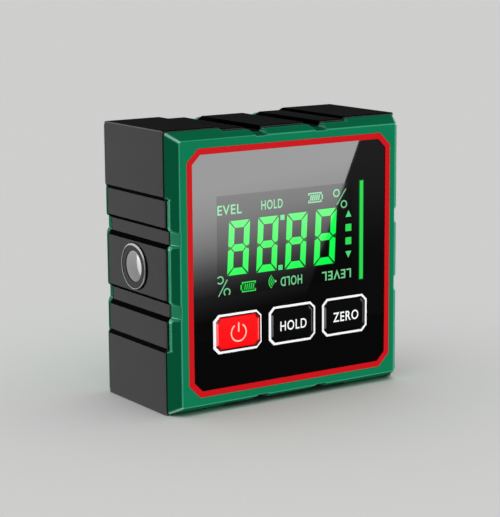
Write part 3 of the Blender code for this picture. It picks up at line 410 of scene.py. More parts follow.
def flat_shape(outlines, front, back):
    """Thin plates with the given outlines (x, z), standing upright between two places along Y."""
    shape = bmesh.new()
    for outline in outlines:
        area = sum(a[0] * b[1] - b[0] * a[1] for a, b in zip(outline, outline[1:] + outline[:1]))
        ring = outline if area > 0 else outline[::-1]
        near = [shape.verts.new((x, front, z)) for x, z in ring]
        far = [shape.verts.new((x, back, z)) for x, z in ring]
        shape.faces.new(near)
        shape.faces.new(far[::-1])
        for i in range(len(ring)):
            shape.faces.new((near[i - 1], far[i - 1], far[i], near[i]))
    return shape


def arc(across, up, radius, width, start, end, steps):
    """The outline of a stroke along a circle, from start to end in degrees."""
    turns = [math.radians(start + (end - start) * i / steps) for i in range(steps + 1)]
    points = [(radius + width / 2, t) for t in turns] + [(radius - width / 2, t) for t in turns[::-1]]
    return [(across + math.cos(t) * far, up + math.sin(t) * far) for far, t in points]


def bar(low, high, lean=0.0):
    """A four-sided outline from one corner to the other, its top moved sideways by lean."""
    return [(low[0], low[1]), (high[0], low[1]), (high[0] + lean, high[1]), (low[0] + lean, high[1])]


def lettering(shape, words, low, high, front, back, swell, upside_down=False):
    """Adds a word to the shape, as upright plates that fill the box from low to high (x, z)."""
    curve = bpy.data.curves.new(words, "FONT")
    curve.body = words
    curve.space_character = 1.12
    curve.extrude = 0.1
    curve.offset = swell
    curve.resolution_u = 4
    text = bpy.data.objects.new(words, curve)
    bpy.context.scene.collection.objects.link(text)
    mesh = plain_mesh(text)
    bpy.data.objects.remove(text)
    ends = [[pick(vert.co[axis] for vert in mesh.vertices) for pick in (min, max)] for axis in (0, 1)]
    for vert in mesh.vertices:
        shares = [(vert.co[axis] - ends[axis][0]) / (ends[axis][1] - ends[axis][0]) for axis in (0, 1)]
        if upside_down:
            shares = [1 - share for share in shares]
        across, up = [low[i] + shares[i] * (high[i] - low[i]) for i in (0, 1)]
        vert.co = (across, front if vert.co.z > 0 else back, up)
    shape.from_mesh(mesh)


def printed(shape, label, ink):
    bmesh.ops.remove_doubles(shape, verts=shape.verts, dist=MERGE / 2)
    sign = piece_from(shape, label + "_print", [ink])
    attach(sign, label + "_key")


button_cap("power", [button_red, button_red_glint, button_red_shade, button_red_shade])
for label in ("hold", "zero"):
    button_cap(label, [button_black, button_black_glint, button_black_glint, button_black])

across = BUTTON_PLACES["power"] + 0.0001
up = BUTTON_HEIGHT - 0.00013
ring = arc(across, up, SIGN_RADIUS, SIGN_STROKE, 122, 418, 40)
stem = bar((across - 0.00017, up + 0.00015), (across + 0.00017, up + 0.0022))
printed(flat_shape([ring, stem], PRINT_FRONT, CAP_FACE), "power", print_cream)
for label, words, shift, drop in (("hold", "HOLD", 0.00027, 0.00027), ("zero", "ZERO", 0.00035, 0.00017)):
    middle = (BUTTON_PLACES[label] + shift, BUTTON_HEIGHT - drop)
    low, high = [tuple(middle[i] + way * WORD_HALF[i] for i in (0, 1)) for way in (-1, 1)]
    shape = bmesh.new()
    lettering(shape, words, low, high, PRINT_FRONT, CAP_FACE, WORD_SWELL)
    printed(shape, label, print_white)


# Display. The lit segments, words and signs of the liquid crystal display, as they show through
# the window: flat shapes of green light on a black film that is a little less glossy.

MM = 0.001
FILM_FRONT = -0.01532
FILM_BACK = -0.01528
MARK_FRONT = -0.01535
RIM_FRONT = -0.01533
MARK_BACK = -0.01531

# Less of a mirror than the window, so the display is a darker field. Its gloss drifts over 5 mm.
film_values = {"Base Color": linear("#040504"), "Roughness": 0.03, "Specular IOR Level": 0.37}
film_black = varied("display film", film_values, "Roughness", 0.02, 0.05, 200.0, 2.0)
field = bar((-0.01923, 0.025), (0.0164, 0.0467))
film = piece_from(flat_shape([field], FILM_FRONT, FILM_BACK), "display_film", [film_black])
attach(film, "case")


def lit_finish(name, light, strength):
    """A lit part of the display: light of one colour, which drifts a little over 17 mm of the glass."""
    values = {"Base Color": linear("#021006"), "Roughness": 0.03, "Specular IOR Level": 0.4}
    values["Emission Color"] = linear(light)
    return varied(name, values, "Emission Strength", strength * 0.92, strength * 1.08, 60.0, 1.0)


# The full green of the figures, which glow even where the window is black.
lit_green = lit_finish("lit display segment", "#0AFF50", 1.0)
# A paler and weaker green for the small words and signs.
lit_sign = lit_finish("lit display sign", "#84EBA4", 0.72)
# A little paler than the figures, for the squares, the bar and the lower battery sign.
lit_mark = lit_finish("lit display marker", "#32EE5A", 0.84)
# Paler again, for the dots and the arrows.
lit_pale = lit_finish("lit display dot", "#52EE84", 0.84)
# Painted glow: a dark green rim that glows as the light spilling from each segment, which parts the
# segments.
spilled_glow_paint = lit_finish("unlit rim of a display segment", "#00501E", 1.0)

DIGIT_WIDTH = 6.0 * MM
DIGIT_HEIGHT = 12.6 * MM
STROKE = 1.6 * MM
MITRE = 0.22 * MM
RIM_WIDTH = 0.11 * MM
LEAN = 0.72 / 12.6
# Each figure's centre in millimetres, and its share of the full width and height.
FIGURES = (
    (-13.86, 35.28, 0.88, 0.927),
    (-6.435, 35.25, 0.876, 0.948),
    (1.15, 35.22, 0.9, 0.963),
    (8.95, 35.27, 0.934, 0.98),
)


def segments():
    """The seven mitred segments of one figure, around its centre."""
    w, h, t, d = DIGIT_WIDTH / 2, DIGIT_HEIGHT / 2, STROKE, MITRE
    top = [(-w + 1.6 * d, h), (w - 1.6 * d, h), (w - t - d, h - t), (-w + t + d, h - t)]
    side = [(-w, h - 1.6 * d), (-w + t, h - t - d), (-w + t, t / 2 + d), (-w + t / 2, d), (-w, t / 2 - d)]
    middle = [(-w + t / 2 + d, 0), (-w + t + d, t / 2), (w - t - d, t / 2)]
    middle += [(w - t / 2 - d, 0), (w - t - d, -t / 2), (-w + t + d, -t / 2)]
    flip = [(x, -z) for x, z in side]
    shapes = [top, [(x, -z) for x, z in top], middle, side, flip]
    shapes += [[(-x, z) for x, z in part] for part in (side, flip)]
    return [[(x + z * LEAN, z) for x, z in part] for part in shapes]


def repeated(name, pattern, places, material, stretches=None, turns=None):
    """Geometry Nodes: a pattern at each of some places, with its own stretch and turn there."""
    points = bmesh.new()
    for spot in places:
        points.verts.new(spot)
    piece = piece_from(points, name, [])
    for label, rows, blank in (("stretch", stretches, (1.0, 1.0, 1.0)), ("turn", turns, (0.0, 0.0, 0.0))):
        values = piece.data.attributes.new(label, "FLOAT_VECTOR", "POINT")
        values.data.foreach_set("vector", [value for row in rows or [blank] * len(places) for value in row])
    tree = bpy.data.node_groups.new(name, "GeometryNodeTree")
    _, kind, size = [
        tree.interface.new_socket(label, in_out="INPUT", socket_type="NodeSocket" + sort)
        for label, sort in (("Geometry", "Geometry"), ("Pattern", "Object"), ("Size", "Float"))
    ]
    tree.interface.new_socket("Geometry", in_out="OUTPUT", socket_type="NodeSocketGeometry")
    given = add_node(tree, "NodeGroupInput")
    source = add_node(tree, "GeometryNodeObjectInfo", {}, {"Object": given.outputs["Pattern"]})
    stretch, angles = [
        add_node(tree, "GeometryNodeInputNamedAttribute", {"data_type": "FLOAT_VECTOR", "Name": label})
        for label in ("stretch", "turn")
    ]
    factors = {0: stretch.outputs["Attribute"], "Scale": given.outputs["Size"]}
    scale = add_node(tree, "ShaderNodeVectorMath", {"operation": "SCALE"}, factors)
    turn = add_node(tree, "FunctionNodeEulerToRotation", {}, {"Euler": angles.outputs["Attribute"]})
    spots = {"Points": given.outputs["Geometry"], "Instance": source.outputs["Geometry"]}
    spots |= {"Rotation": turn.outputs["Rotation"], "Scale": scale.outputs[0]}
    placed = add_node(tree, "GeometryNodeInstanceOnPoints", {}, spots)
    real = add_node(tree, "GeometryNodeRealizeInstances", {}, {"Geometry": placed.outputs["Instances"]})
    whole = {"Geometry": real.outputs["Geometry"]}
    painted = add_node(tree, "GeometryNodeSetMaterial", {"Material": material}, whole)
    add_node(tree, "NodeGroupOutput", {}, {"Geometry": painted.outputs["Geometry"]})
    modifier = piece.modifiers.new("repeat", "NODES")
    modifier.node_group = tree
    modifier[kind.identifier] = pattern
    modifier[size.identifier] = 1.0
    settle(piece)
    bpy.data.objects.remove(pattern)
    return piece


def segment_rims():
    """A frame with a middle bar, a hair wider than the segments of one figure."""
    w, h, t, d = DIGIT_WIDTH / 2, DIGIT_HEIGHT / 2, STROKE, RIM_WIDTH
    levels = (-h + t / 2, 0, h - t / 2)
    bars = [bar((-w - d, -h - d), (-w + t + d, h + d)), bar((w - t - d, -h - d), (w + d, h + d))]
    bars += [bar((-w + t + d, z - t / 2 - d), (w - t - d, z + t / 2 + d)) for z in levels]
    return [[(x + z * LEAN, z) for x, z in part] for part in bars]


lit_marks = []


def lit(piece):
    """A mark of the display: it is fixed to the case and joins the pieces that mirror the cards."""
    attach(piece, "case")
    lit_marks.append(piece)


figure = piece_from(flat_shape(segments(), MARK_FRONT, MARK_BACK), "figure", [lit_green])
places = [(across * MM, 0.0, up * MM) for across, up, _, _ in FIGURES]
stretches = [(wide, 1.0, high) for _, _, wide, high in FIGURES]
lit(repeated("display_figures", figure, places, lit_green, stretches))
rim = piece_from(flat_shape(segment_rims(), RIM_FRONT, MARK_BACK), "rim", [spilled_glow_paint])
lit(repeated("display_figure_rims", rim, places, spilled_glow_paint, stretches))


def in_millimetres(outlines):
    return [[(x * MM, z * MM) for x, z in outline] for outline in outlines]


def battery_sign(left, base, facing, line, width):
    """A battery: its open-ended case, its end cap on the facing side and five slanted bars."""
    length, height, stub, pitch = 3.6, 2.25, 0.3, 0.54
    parts = [bar((0, 0), (length, line)), bar((0, height - line), (length, height))]
    for end in (0, length - line):
        parts += [bar((end, low), (end + line, low + stub)) for low in (line, height - line - stub)]
    parts.append(bar((length, 0.6), (length + 0.35, height - 0.6)))
    bars = [0.42 + pitch * i for i in range(5)]
    parts += [bar((foot, 0.48), (foot + width, height - 0.48), 0.22) for foot in bars]
    if facing < 0:
        parts = [[(length - x, height - z) for x, z in part] for part in parts]
    return [[(left + x, base + z) for x, z in part] for part in parts]


def percent_sign(slash_foot, slash_top, upper_ring, lower_ring, open_left=0, open_base=0):
    """A slash between two small rings, the upper one open at its left and the lower one at its base."""
    (x0, z0), (x1, z1), line = slash_foot, slash_top, 0.3
    parts = [[(x0, z0), (x0 + line, z0), (x1 + line, z1), (x1, z1)]]
    upper_ends = ((open_left - 180, 0), (0, 180 - open_left))
    lower_ends = ((open_base - 90, 90), (90, 270 - open_base))
    for ring, radius, halves in ((upper_ring, 0.76, upper_ends), (lower_ring, 0.74, lower_ends)):
        parts += [arc(*ring, radius, line, *ends, 12) for ends in halves]
    return parts


# The tall bar and the two squares, then the lower battery and the sound sign.
SIGN_SWELL = 0.014
marker_rims = [bar((18.15, 24.5), (19.55, 47.1)), bar((-12.9, 25.8), (-9.7, 27.3))]
marks = [bar((18.42, 24.7), (19.34, 46.9)), bar((14.5, 35.9), (16.1, 37.5)), bar((14.5, 32.9), (16.1, 34.5))]
marks += battery_sign(-13.1, 25.4, -1, 0.26, 0.2)
marks += [arc(-4.4, 26.87, radius, 0.22, 125, 235, 12) for radius in (0.68, 1.18, 1.68)]
# The two dots between the figures, and the two arrows.
dots = [bar((-3.03, 40.15), (-1.93, 41.25)), bar((-3.6, 29.2), (-2.5, 30.3))]
dots += [[(14.5, 39.1), (16.1, 39.1), (15.3, 40.6)], [(14.5, 31.4), (15.3, 29.9), (16.1, 31.4)]]
for name, outlines, front, light in (
    ("display_marker_rims", marker_rims, RIM_FRONT, spilled_glow_paint),
    ("display_markers", marks, MARK_FRONT, lit_mark),
    ("display_dots", dots, MARK_FRONT, lit_pale),
):
    lit(piece_from(flat_shape(in_millimetres(outlines), front, MARK_BACK), name, [light]))

# The upper battery, both percent signs, the sound sign's dot and the words.
signs = battery_sign(4.35, 43.1, 1, 0.3, 0.38)
signs += percent_sign((11.95, 42.1), (14.4, 45.45), (11.97, 44.7), (14.03, 42.05))
signs += percent_sign((-19.2, 25.2), (-16.95, 28.65), (-18.6, 28.7), (-16.9, 25.95), 35, 36)
signs += [arc(-4.4, 26.87, 0.14, 0.28, start, start + 180, 8) for start in (0, 180)]
shape = flat_shape(in_millimetres(signs), MARK_FRONT, MARK_BACK)
for words, low, high, upside_down in (
    ("EVEL", (-19.15, 42.6), (-13.0, 44.7), False),
    ("HOLD", (-8.0, 42.8), (-2.4, 44.85), False),
    ("HOLD", (-3.0, 25.5), (2.7, 27.6), True),
    ("LEVEL", (8.1, 25.4), (16.05, 27.45), True),
):
    low, high = [tuple(value * MM for value in corner) for corner in (low, high)]
    lettering(shape, words, low, high, MARK_FRONT, MARK_BACK, SIGN_SWELL, upside_down)
lit(piece_from(shape, "display_signs", [lit_sign]))


# Magnets. A zinc-plated steel cup is pressed into the band with a nickel-plated disc magnet in its
# middle, held by a black bush. The cup's wall is painted black at its front as the shadow that the cup
# casts, a crescent. The same set sits in both sides and in the base.

MAGNET_PLACE = 0.0011
RIM = 0.0304
DEEP = 0.0302
LIP_TURN = math.radians(-12)
LIP_RADII = (4.7 * MM, 4.95 * MM)
LIP_WIDTH = 0.4 * MM
SHADOW_BEAD_RADIUS = 5.12 * MM
SHADOW_BEAD_WIDTH = 0.3 * MM
DISC_RADIUS = 3.36
DOME_HEIGHT = 0.28
DOME_STEPS = 8
SHARP_ANGLE = math.radians(32)


def plated(name, colour, roughness, low, high, *pattern):
    """Plated metal, whose gloss changes a little from place to place."""
    values = {"Base Color": linear(colour), "Metallic": 1.0, "Roughness": roughness}
    return varied(name, values, "Roughness", low, high, *pattern)


# Bright plating that has dulled: a light ring with soft reflections. Its zinc crystals are about
# 0.3 mm across and change the gloss a little from one to the next.
crystals = (1 / 0.0003, 0.0, "ShaderNodeTexVoronoi", "Distance")
plated_steel = plated("zinc-plated steel", "#D0D1D2", 0.3, 0.26, 0.42, *crystals)
# Bare nickel with scuffs about 1 mm long: a grey mirror with one bright glint.
magnet_nickel = plated("nickel-plated magnet", "#A6A6A6", 0.09, 0.06, 0.12, 900.0, 3.0)
# Matt and nearly the band's grey, so the disc seems to float in its ring.
bush_black = moulded("black bush", "#383838", "#3E3E3E", 0.85, 0.0003, 8e-6, 0.01)


def lathed(name, profile, closed=False, segments=72):
    """A shape turned round Z through (radius, height) points, as one that a lathe makes."""
    shape = bmesh.new()
    rings = []
    for radius, height in profile:
        count = segments if radius else 1
        turns = [2 * math.pi * i / segments for i in range(count)]
        ring = [shape.verts.new((math.cos(t) * radius, math.sin(t) * radius, height)) for t in turns]
        rings.append(ring * (segments // count))
    for near, far in zip(rings, rings[1:] + (rings[:1] if closed else [])):
        for i in range(segments):
            corners = dict.fromkeys((near[i - 1], near[i], far[i], far[i - 1]))
            shape.faces.new(list(corners))
    bmesh.ops.recalc_face_normals(shape, faces=shape.faces)
    piece = piece_from(shape, name, [])
    piece.data.shade_smooth()
    piece.data.set_sharp_from_angle(angle=SHARP_ANGLE)
    return piece


metal_pieces = []
# Each magnet's place and turn.
sides = {
    "left": ((-RIM, MAGNET_PLACE, MIDDLE), (0.0, -math.pi / 2, 0.0)),
    "right": ((RIM, MAGNET_PLACE, MIDDLE), (0.0, math.pi / 2, 0.0)),
    "bottom": ((0.0, MAGNET_PLACE, MIDDLE - RIM), (math.pi, 0.0, 0.0)),
}
# Profiles in millimetres: a radius and a height, with the cup's front at zero.
cup = [(0, -2.9), (5.0, -2.9), (5.1, -2.8), (5.1, -0.42), (5.13, -0.39), (5.1, -0.3), (5.1, -0.2)]
cup += [(4.98, 0), (4.9, 0), (4.87, -0.03), (4.87, -0.5), (4.55, -0.5), (4.55, -2.3), (0, -2.3)]
bush = [(3.46, -0.12), (4.83, -0.12), (4.83, -0.46), (4.5, -0.46), (4.5, -2.15), (3.46, -2.15)]
disc = [(0, -2.15), (DISC_RADIUS, -2.15), (3.42, -2.1), (3.42, -0.24), (DISC_RADIUS, -0.2)]
for step in range(1, DOME_STEPS + 1):
    left = 1 - step / DOME_STEPS
    disc.append((DISC_RADIUS * left, -0.2 + DOME_HEIGHT * (1 - left ** 2)))
for kind, profile, closed, material, slot in (
    ("magnet_cup", cup, False, plated_steel, "plated_steel"),
    ("magnet_bush", bush, True, bush_black, "band_plastic"),
    ("magnet", disc, False, magnet_nickel, "magnet_metal"),
):
    pattern = lathed("pattern", [(radius * MM, height * MM) for radius, height in profile], closed)
    # The cup's lip is wider at its top, and the bead round the cup, which carries the painted shadow, is
    # wider at its front.
    for vert in pattern.data.vertices:
        radius = math.hypot(vert.co.x, vert.co.y)
        if kind == "magnet_cup" and LIP_RADII[0] < radius < LIP_RADII[1] and vert.co.z > -0.2 * MM:
            lip = max(0.0, math.cos(math.atan2(vert.co.y, vert.co.x) - LIP_TURN)) ** 4
            vert.co.xy *= 1 - LIP_WIDTH * lip / radius
        elif radius > SHADOW_BEAD_RADIUS:
            vert.co.xy *= 1 + SHADOW_BEAD_WIDTH * max(0.0, -vert.co.y / radius) / radius
    places = [spot for spot, _ in sides.values()]
    turns = [turn for _, turn in sides.values()]
    three = repeated(kind + "s", pattern, places, material, None, turns)
    if kind == "magnet_cup":
        # Painted shadow: the front half of the cup below its lip is painted black.
        three.data.materials.append(shade_painted_black)
        for face in three.data.polygons:
            deep = max(from_middle(face.center)) < DEEP
            if deep and face.normal.y < -0.02 and face.center.y < MAGNET_PLACE:
                face.material_index = len(three.data.materials) - 1
    if material is not bush_black:
        metal_pieces.append(three)
    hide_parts(*[side + "_" + kind for side in sides])
    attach(three, "case")


# Screws. Zinc-plated steel with pan heads and cross recesses: four long ones from the rear cover
# to the bezel, one in the battery door and four short ones that hold the board.

THREADS = 7
THREAD_PITCH = 0.0006
REAR_SPREAD = 0.0236
BOARD_SPREAD = (0.012, 0.0232)
BACKWARDS = (-math.pi / 2, 0.0, 0.0)
# Worn plating: heads that shine in patches 0.7 mm wide, with dark crosses in their middles.
screw_steel = plated("bright zinc-plated steel", "#BFC2C4", 0.3, 0.22, 0.4, 1500.0, 3.0)


def screw(head, head_height, shank, length, recess):
    """A screw that stands on its tip along Z, the top of its head at zero, with threads at its tip."""
    profile = [(0, 0), (head * 0.72, 0), (head * 0.92, -head_height * 0.14), (head, -head_height * 0.45)]
    profile += [(head, -head_height), (shank, -head_height)]
    for i in range(THREADS, 0, -1):
        profile += [(shank, -length + THREAD_PITCH * i), (shank * 0.78, -length + THREAD_PITCH * (i - 0.5))]
    profile += [(shank * 0.6, -length), (0, -length)]
    piece = lathed("screw", profile, False, 36)
    width = recess * 0.3
    # The recess is cut by two tapered blades, one across the other.
    for half in ((recess, width / 2), (width / 2, recess)):
        shape = bmesh.new()
        bmesh.ops.create_cube(shape, size=1.0)
        for vert in shape.verts:
            taper = 1.0 if vert.co.z > 0 else 0.55
            across = (-half[0] if vert.co.x < 0 else half[0]) * taper
            along = (-half[1] if vert.co.y < 0 else half[1]) * taper
            vert.co = (across, along, 0.0001 if vert.co.z > 0 else -head_height * 0.75)
        slot = piece_from(shape, "recess", [])
        cut = piece.modifiers.new("recess", "BOOLEAN")
        cut.object = slot
        cut.solver = "EXACT"
        settle(piece)
        bpy.data.objects.remove(slot)
    piece.data.set_sharp_from_angle(angle=SHARP_ANGLE)
    return piece


corners = {"upper_left": (-1, 1), "upper_right": (1, 1), "lower_left": (-1, -1), "lower_right": (1, -1)}
rear_places = [(x * REAR_SPREAD, 0.0153, MIDDLE + z * REAR_SPREAD) for x, z in corners.values()]
board_places = [(x * BOARD_SPREAD[0], -0.0045, MIDDLE + z * BOARD_SPREAD[1]) for x, z in corners.values()]
door_places = [(0.0, 0.0155, 0.01595)]
rear_nodes, board_nodes = [[kind + corner for corner in corners] for kind in ("rear_screw_", "board_screw_")]
# Each row has the radius and height of a head, the radius and length of a shank, and the recess's reach.
for name, sizes, places, nodes in (
    ("rear_screws", (0.0022, 0.0012, 0.001, 0.02855, 0.0012), rear_places, rear_nodes),
    ("board_screws", (0.0017, 0.0011, 0.0008, 0.0065, 0.0009), board_places, board_nodes),
    ("door_screw", (0.0017, 0.0011, 0.0008, 0.0049, 0.0009), door_places, ["battery_door_screw"]),
):
    screws = repeated(name, screw(*sizes), places, screw_steel, None, [BACKWARDS] * len(places))
    metal_pieces.append(screws)
    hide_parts(*nodes)
    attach(screws, "case")


# Inside. The board, chips, switches, display and batteries keep their shapes and take the finish
# of the real part. They show only where the case is taken apart.


def two_coloured(name, values, first, second, kind, settings, output="Fac", edge=(0.0, 1.0)):
    """A finish in two colours. A pattern that passes through the edge's two values parts them."""
    material, tree, shader = new_finish(name, values)
    place = add_node(tree, "ShaderNodeTexCoord")
    pattern = add_node(tree, kind, settings, {"Vector": place.outputs["Object"]})
    limits = {"From Min": edge[0], "From Max": edge[1]}
    share = add_node(tree, "ShaderNodeMapRange", limits, {"Value": pattern.outputs[output]})
    colours = {"data_type": "RGBA", 6: linear(first), 7: linear(second)}
    tint = add_node(tree, "ShaderNodeMix", colours, {0: share.outputs["Result"]})
    tree.links.new(tint.outputs[2], shader.inputs["Base Color"])
    return material


# Stripes along X: a wave texture's bands lie this far apart, divided by its scale.
WAVE = 0.314
# Glossy green lacquer. Copper tracks run up the board 1.2 mm apart and show as lighter lines.
tracks = {"bands_direction": "X", "Scale": WAVE / 0.0012, "Distortion": 1.5, "Detail": 1.0}
laminate = two_coloured(
    "green solder mask on glass fibre", {"Roughness": 0.35}, "#0B3D22", "#1C6B40",
    "ShaderNodeTexWave", tracks, edge=(0.7, 0.76),
)
# Dull black with a fine grain, as chips have.
epoxy = moulded("black moulding epoxy", "#161617", "#1C1C1D", 0.55, 0.0002, 1e-5, 0.4)
# Milky white that spreads the light behind the display.
diffuser = moulded("white opal acrylic", "#E6E9EC", "#F2F4F5", 0.5, 0.0004, 3e-6, 0.4)
# Off-white with a soft shine.
switch_nylon = moulded("white nylon", "#D9D8D2", "#E2E1DB", 0.5, 0.0003, 5e-6, 0.4)

# Smooth glass, nearly black with a green tinge that drifts over 8 mm.
cell_glass = two_coloured(
    "liquid crystal glass", {"Roughness": 0.06, "IOR": 1.52}, "#0C1210", "#141C19",
    "ShaderNodeTexNoise", {"Scale": 120.0, "Detail": 2.0},
)
# Matt rubber in dark and grey stripes: conducting and insulating layers, 0.25 mm each.
strip_rubber = two_coloured(
    "layered conductive rubber", {"Roughness": 0.7}, "#121212", "#6E6E6A",
    "ShaderNodeTexWave", {"bands_direction": "X", "Scale": WAVE / 0.0005},
)
# Warm bright metal with a satin of rolling marks, about 1.4 mm long.
spring_nickel = plated("nickel-plated spring steel", "#B9B4AA", 0.3, 0.24, 0.38, 700.0, 2.0)
# Shiny dark grey sleeve with a copper-coloured band at the left, to tell the battery's ends apart.
cell_wrap = two_coloured(
    "printed cell sleeve", {"Roughness": 0.28}, "#A8683A", "#202226",
    "ShaderNodeSeparateXYZ", {}, "X", (-0.0131, -0.0129),
)

for material, nodes in (
    (laminate, ["main_board"]),
    (epoxy, ["processor_chip", "tilt_sensor", "buzzer"]),
    (epoxy, [label + "_switch_body" for label in BUTTON_PLACES]),
    (switch_nylon, [label + "_switch_plunger" for label in BUTTON_PLACES]),
    (cell_glass, ["lcd_glass"]),
    (diffuser, ["lcd_backlight"]),
    (strip_rubber, ["lcd_connector_strip"]),
    (spring_nickel, ["upper_battery_spring", "lower_battery_spring"]),
    (spring_nickel, ["battery_bridge_plate", "positive_contact", "negative_contact"]),
    (cell_wrap, ["upper_battery", "lower_battery"]),
):
    for node in nodes:
        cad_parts[node].material_slots[0].material = material


# Camera. It stands at the photograph's angle: 33.7 degrees to the left of the front, 10.7 above
# and 0.4 m away, with a long lens.

ROLL = math.radians(-0.387)
camera = bpy.data.objects.new("camera", bpy.data.cameras.new("camera"))
scene = bpy.context.scene
scene.collection.objects.link(camera)
camera.data.sensor_width = 36.0
camera.data.lens = 124.18
camera.data.clip_start = 0.01
camera.data.clip_end = 100.0
camera.location = (-0.21898, -0.32767, 0.10343)
aim = Vector((-0.000758, 0.0, 0.029109)) - camera.location
turn = aim.to_track_quat("-Z", "Y").to_matrix().to_4x4()
camera.matrix_world = Matrix.Translation(camera.location) @ turn @ Matrix.Rotation(ROLL, 4, "Z")
scene.camera = camera


# Floor and light. A plain pale table that runs out of view, and soft lights low around the case
# with a weak one above. The window mirrors two cards. The metal pieces mirror a white dome, which
# is dark in front, and a bright round card beside the case.

WHITE_LIGHT = {"Base Color": (0, 0, 0, 1), "Emission Color": (1, 1, 1, 1)}
CARD_LOW = -0.008
CARD_HIGH = 0.03
CARD_PLACE = -0.1153
CARD_BACK = -0.1158
CARD_TURN = {"Rotation": (0.0, math.radians(6.0), 0.0), "Location": (0.0, 0.0, 0.003)}
# Heights on the card, and the share of its light that each gives.
FADE = [(-0.008, 0.0), (-0.001, 0.03), (0.0028, 0.1), (0.007, 0.24), (0.0134, 0.56)]
FADE += [(0.0205, 0.83), (0.029, 1.0)]
SIDE_CARD_PLACE = -0.6
SIDE_CARD_CENTRE = (0.45, -0.065)
SIDE_CARD_RADII = (0.22, 0.185)

# Matt pale paint: an even ground with a soft shadow.
paint = {"Base Color": linear("#E4E4E2"), "Roughness": 0.95, "Specular IOR Level": 0.0}
floor_paint, tree, shader = new_finish("pale table", paint)
# The table is clear from below, so the base can be looked at.
clear = add_node(tree, "ShaderNodeBsdfTransparent")
side = add_node(tree, "ShaderNodeNewGeometry")
faces = {0: side.outputs["Backfacing"], 1: shader.outputs["BSDF"], 2: clear.outputs["BSDF"]}
either = add_node(tree, "ShaderNodeMixShader", {}, faces)
tree.links.new(either.outputs["Shader"], tree.nodes["Material Output"].inputs["Surface"])
shape = bmesh.new()
bmesh.ops.create_grid(shape, x_segments=1, y_segments=1, size=30.0)
floor = piece_from(shape, "floor", [floor_paint])
floor.visible_diffuse = False
floor.visible_glossy = False


def light_group(name, pieces, state="INCLUDE"):
    """A collection for a light: the only pieces that it reaches, or the ones that it leaves out."""
    group = bpy.data.collections.new(name)
    for piece in pieces:
        group.objects.link(piece)
    for member in group.collection_objects:
        member.light_linking.link_state = state
    return group


mirrors = light_group("mirrors", [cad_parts["front_window"], film] + lit_marks)


def mirrored_card(name, outline, light):
    """A card that only the window mirrors. It is white above and fades to black at its foot."""
    white, tree, shader = new_finish(name, WHITE_LIGHT)
    place = add_node(tree, "ShaderNodeTexCoord")
    turned = add_node(tree, "ShaderNodeMapping", CARD_TURN, {"Vector": place.outputs["Object"]})
    parts = add_node(tree, "ShaderNodeSeparateXYZ", {}, {"Vector": turned.outputs["Vector"]})
    limits = {"From Min": CARD_LOW, "From Max": CARD_HIGH}
    share = add_node(tree, "ShaderNodeMapRange", limits, {"Value": parts.outputs["Z"]})
    fade = add_node(tree, "ShaderNodeValToRGB", {}, {"Fac": share.outputs["Result"]})
    while len(fade.color_ramp.elements) < len(FADE):
        fade.color_ramp.elements.new(0.5)
    for stop, (height, level) in zip(fade.color_ramp.elements, FADE):
        stop.position = (height - CARD_LOW) / (CARD_HIGH - CARD_LOW)
        stop.color = (level, level, level, 1.0)
    brighter = {"operation": "MULTIPLY", 1: light}
    strength = add_node(tree, "ShaderNodeMath", brighter, {0: fade.outputs["Color"]})
    tree.links.new(strength.outputs[0], shader.inputs["Emission Strength"])
    card = piece_from(flat_shape([outline], CARD_PLACE, CARD_BACK), name, [white])
    card.light_linking.receiver_collection = mirrors
    return card


stage_cards = [
    mirrored_card("card", [(0.02, -0.012), (0.0711, -0.012), (0.0982, 0.05), (0.02, 0.05)], 8.0),
    mirrored_card("dim_card", [(0.0712, -0.012), (0.135, -0.012), (0.135, 0.05), (0.0983, 0.05)], 0.21),
]

metals = light_group("metals", metal_pieces)
# A white room around the metals, a little brighter above.
dome_white, tree, shader = new_finish("studio dome", WHITE_LIGHT)
place = add_node(tree, "ShaderNodeTexCoord")
parts = add_node(tree, "ShaderNodeSeparateXYZ", {}, {"Vector": place.outputs["Object"]})
heights = {"From Min": -0.6, "From Max": 0.6, "To Min": 0.62, "To Max": 0.95}
level = add_node(tree, "ShaderNodeMapRange", heights, {"Value": parts.outputs["Z"]})
# The room is dark in front, so the walls of the cups turn dark towards the front.
forward = {"operation": "DOT_PRODUCT", 1: (0.0, -1.0, -0.1)}
ahead = add_node(tree, "ShaderNodeVectorMath", forward, {0: place.outputs["Object"]})
darkening = {"From Min": 1.5, "From Max": 2.4, "To Min": 1.0, "To Max": 0.12}
dark = add_node(tree, "ShaderNodeMapRange", darkening, {"Value": ahead.outputs["Value"]})
levels = {0: level.outputs["Result"], 1: dark.outputs["Result"]}
strength = add_node(tree, "ShaderNodeMath", {"operation": "MULTIPLY"}, levels)
tree.links.new(strength.outputs[0], shader.inputs["Emission Strength"])
shape = bmesh.new()
bmesh.ops.create_icosphere(shape, subdivisions=4, radius=3.0)
dome = piece_from(shape, "dome", [dome_white])
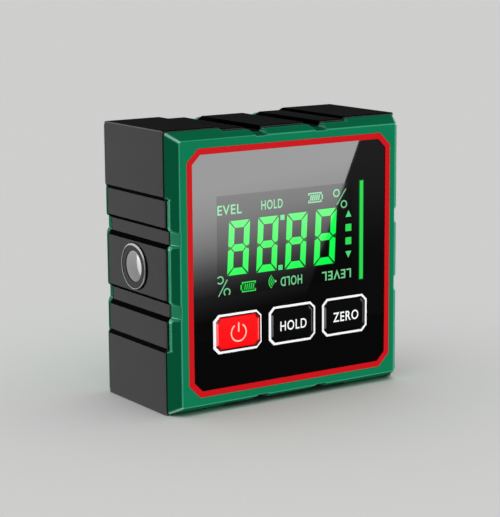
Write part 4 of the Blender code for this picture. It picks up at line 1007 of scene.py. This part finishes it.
# A bright round card that gives each magnet its glint.
side_white = new_finish("side card", {**WHITE_LIGHT, "Emission Strength": 1.7})[0]
turns = [i * math.pi / 16 for i in range(32)]
(x, z), (wide, high) = SIDE_CARD_CENTRE, SIDE_CARD_RADII
oval = [(x + wide * math.cos(turn), z + high * math.sin(turn)) for turn in turns]
side_card = piece_from(flat_shape([oval], 0, 0.002), "side_card", [side_white])
beside = Matrix.Translation((SIDE_CARD_PLACE, 0.0, 0.0))
side_card.data.transform(beside @ Matrix.Rotation(math.radians(90), 4, "Z"))
for piece in (dome, side_card):
    piece.light_linking.receiver_collection = metals
stage_cards += [dome, side_card]
for piece in stage_cards:
    for ray in ("camera", "diffuse", "shadow", "transmission"):
        setattr(piece, "visible_" + ray, False)

not_rear = light_group("not_rear", [floor] + metal_pieces + [rear, door], "EXCLUDE")
not_floor = light_group("not_floor", [floor] + metal_pieces, "EXCLUDE")
only_rear = light_group("only_rear", [rear, door])
only_floor = light_group("only_floor", [floor])

# Each row is a lamp's name and place, the height it faces, its width and height, watts and group.
for name, place, aim, width, height, power, group in (
    ("back_left_light", (-0.411, 0.8, 0.06), 0.03, 0.15, 0.1, 19.5, not_rear),
    ("right_light", (0.87, 0.2, 0.04), 0.03, 0.5, 0.1, 7.0, not_floor),
    ("rear_light", (-0.25, 0.9, 0.25), 0.03, 0.6, 0.3, 9.0, only_rear),
    ("front_right_light", (0.125, -0.89, 0.06), 0.03, 0.6, 0.1, 7.6, not_floor),
    ("top_light", (0.0, 0.1, 1.2), 0.0, 0.8, 0.8, 1.3, not_floor),
):
    light = bpy.data.lights.new(name, "AREA")
    light.shape = "RECTANGLE"
    light.size = width
    light.size_y = height
    light.energy = power
    lamp = bpy.data.objects.new(name, light)
    lamp.location = place
    lamp.rotation_euler = (Vector((0, 0, aim)) - Vector(place)).to_track_quat("-Z", "Y").to_euler()
    scene.collection.objects.link(lamp)
    lamp.light_linking.receiver_collection = group

# A wide soft sun lights the table alone, and the world adds a faint cool fill.
sky = bpy.data.lights.new("sky", "SUN")
sky.angle = math.radians(110)
sky.energy = 2.2
sky_lamp = bpy.data.objects.new("sky", sky)
scene.collection.objects.link(sky_lamp)
sky_lamp.light_linking.receiver_collection = only_floor

world = bpy.data.worlds.new("studio")
world.use_nodes = True
fill = world.node_tree.nodes["Background"]
fill.inputs["Color"].default_value = (0.9, 0.95, 1.0, 1.0)
fill.inputs["Strength"].default_value = 0.105
scene.world = world
scene.view_settings.view_transform = "Standard"
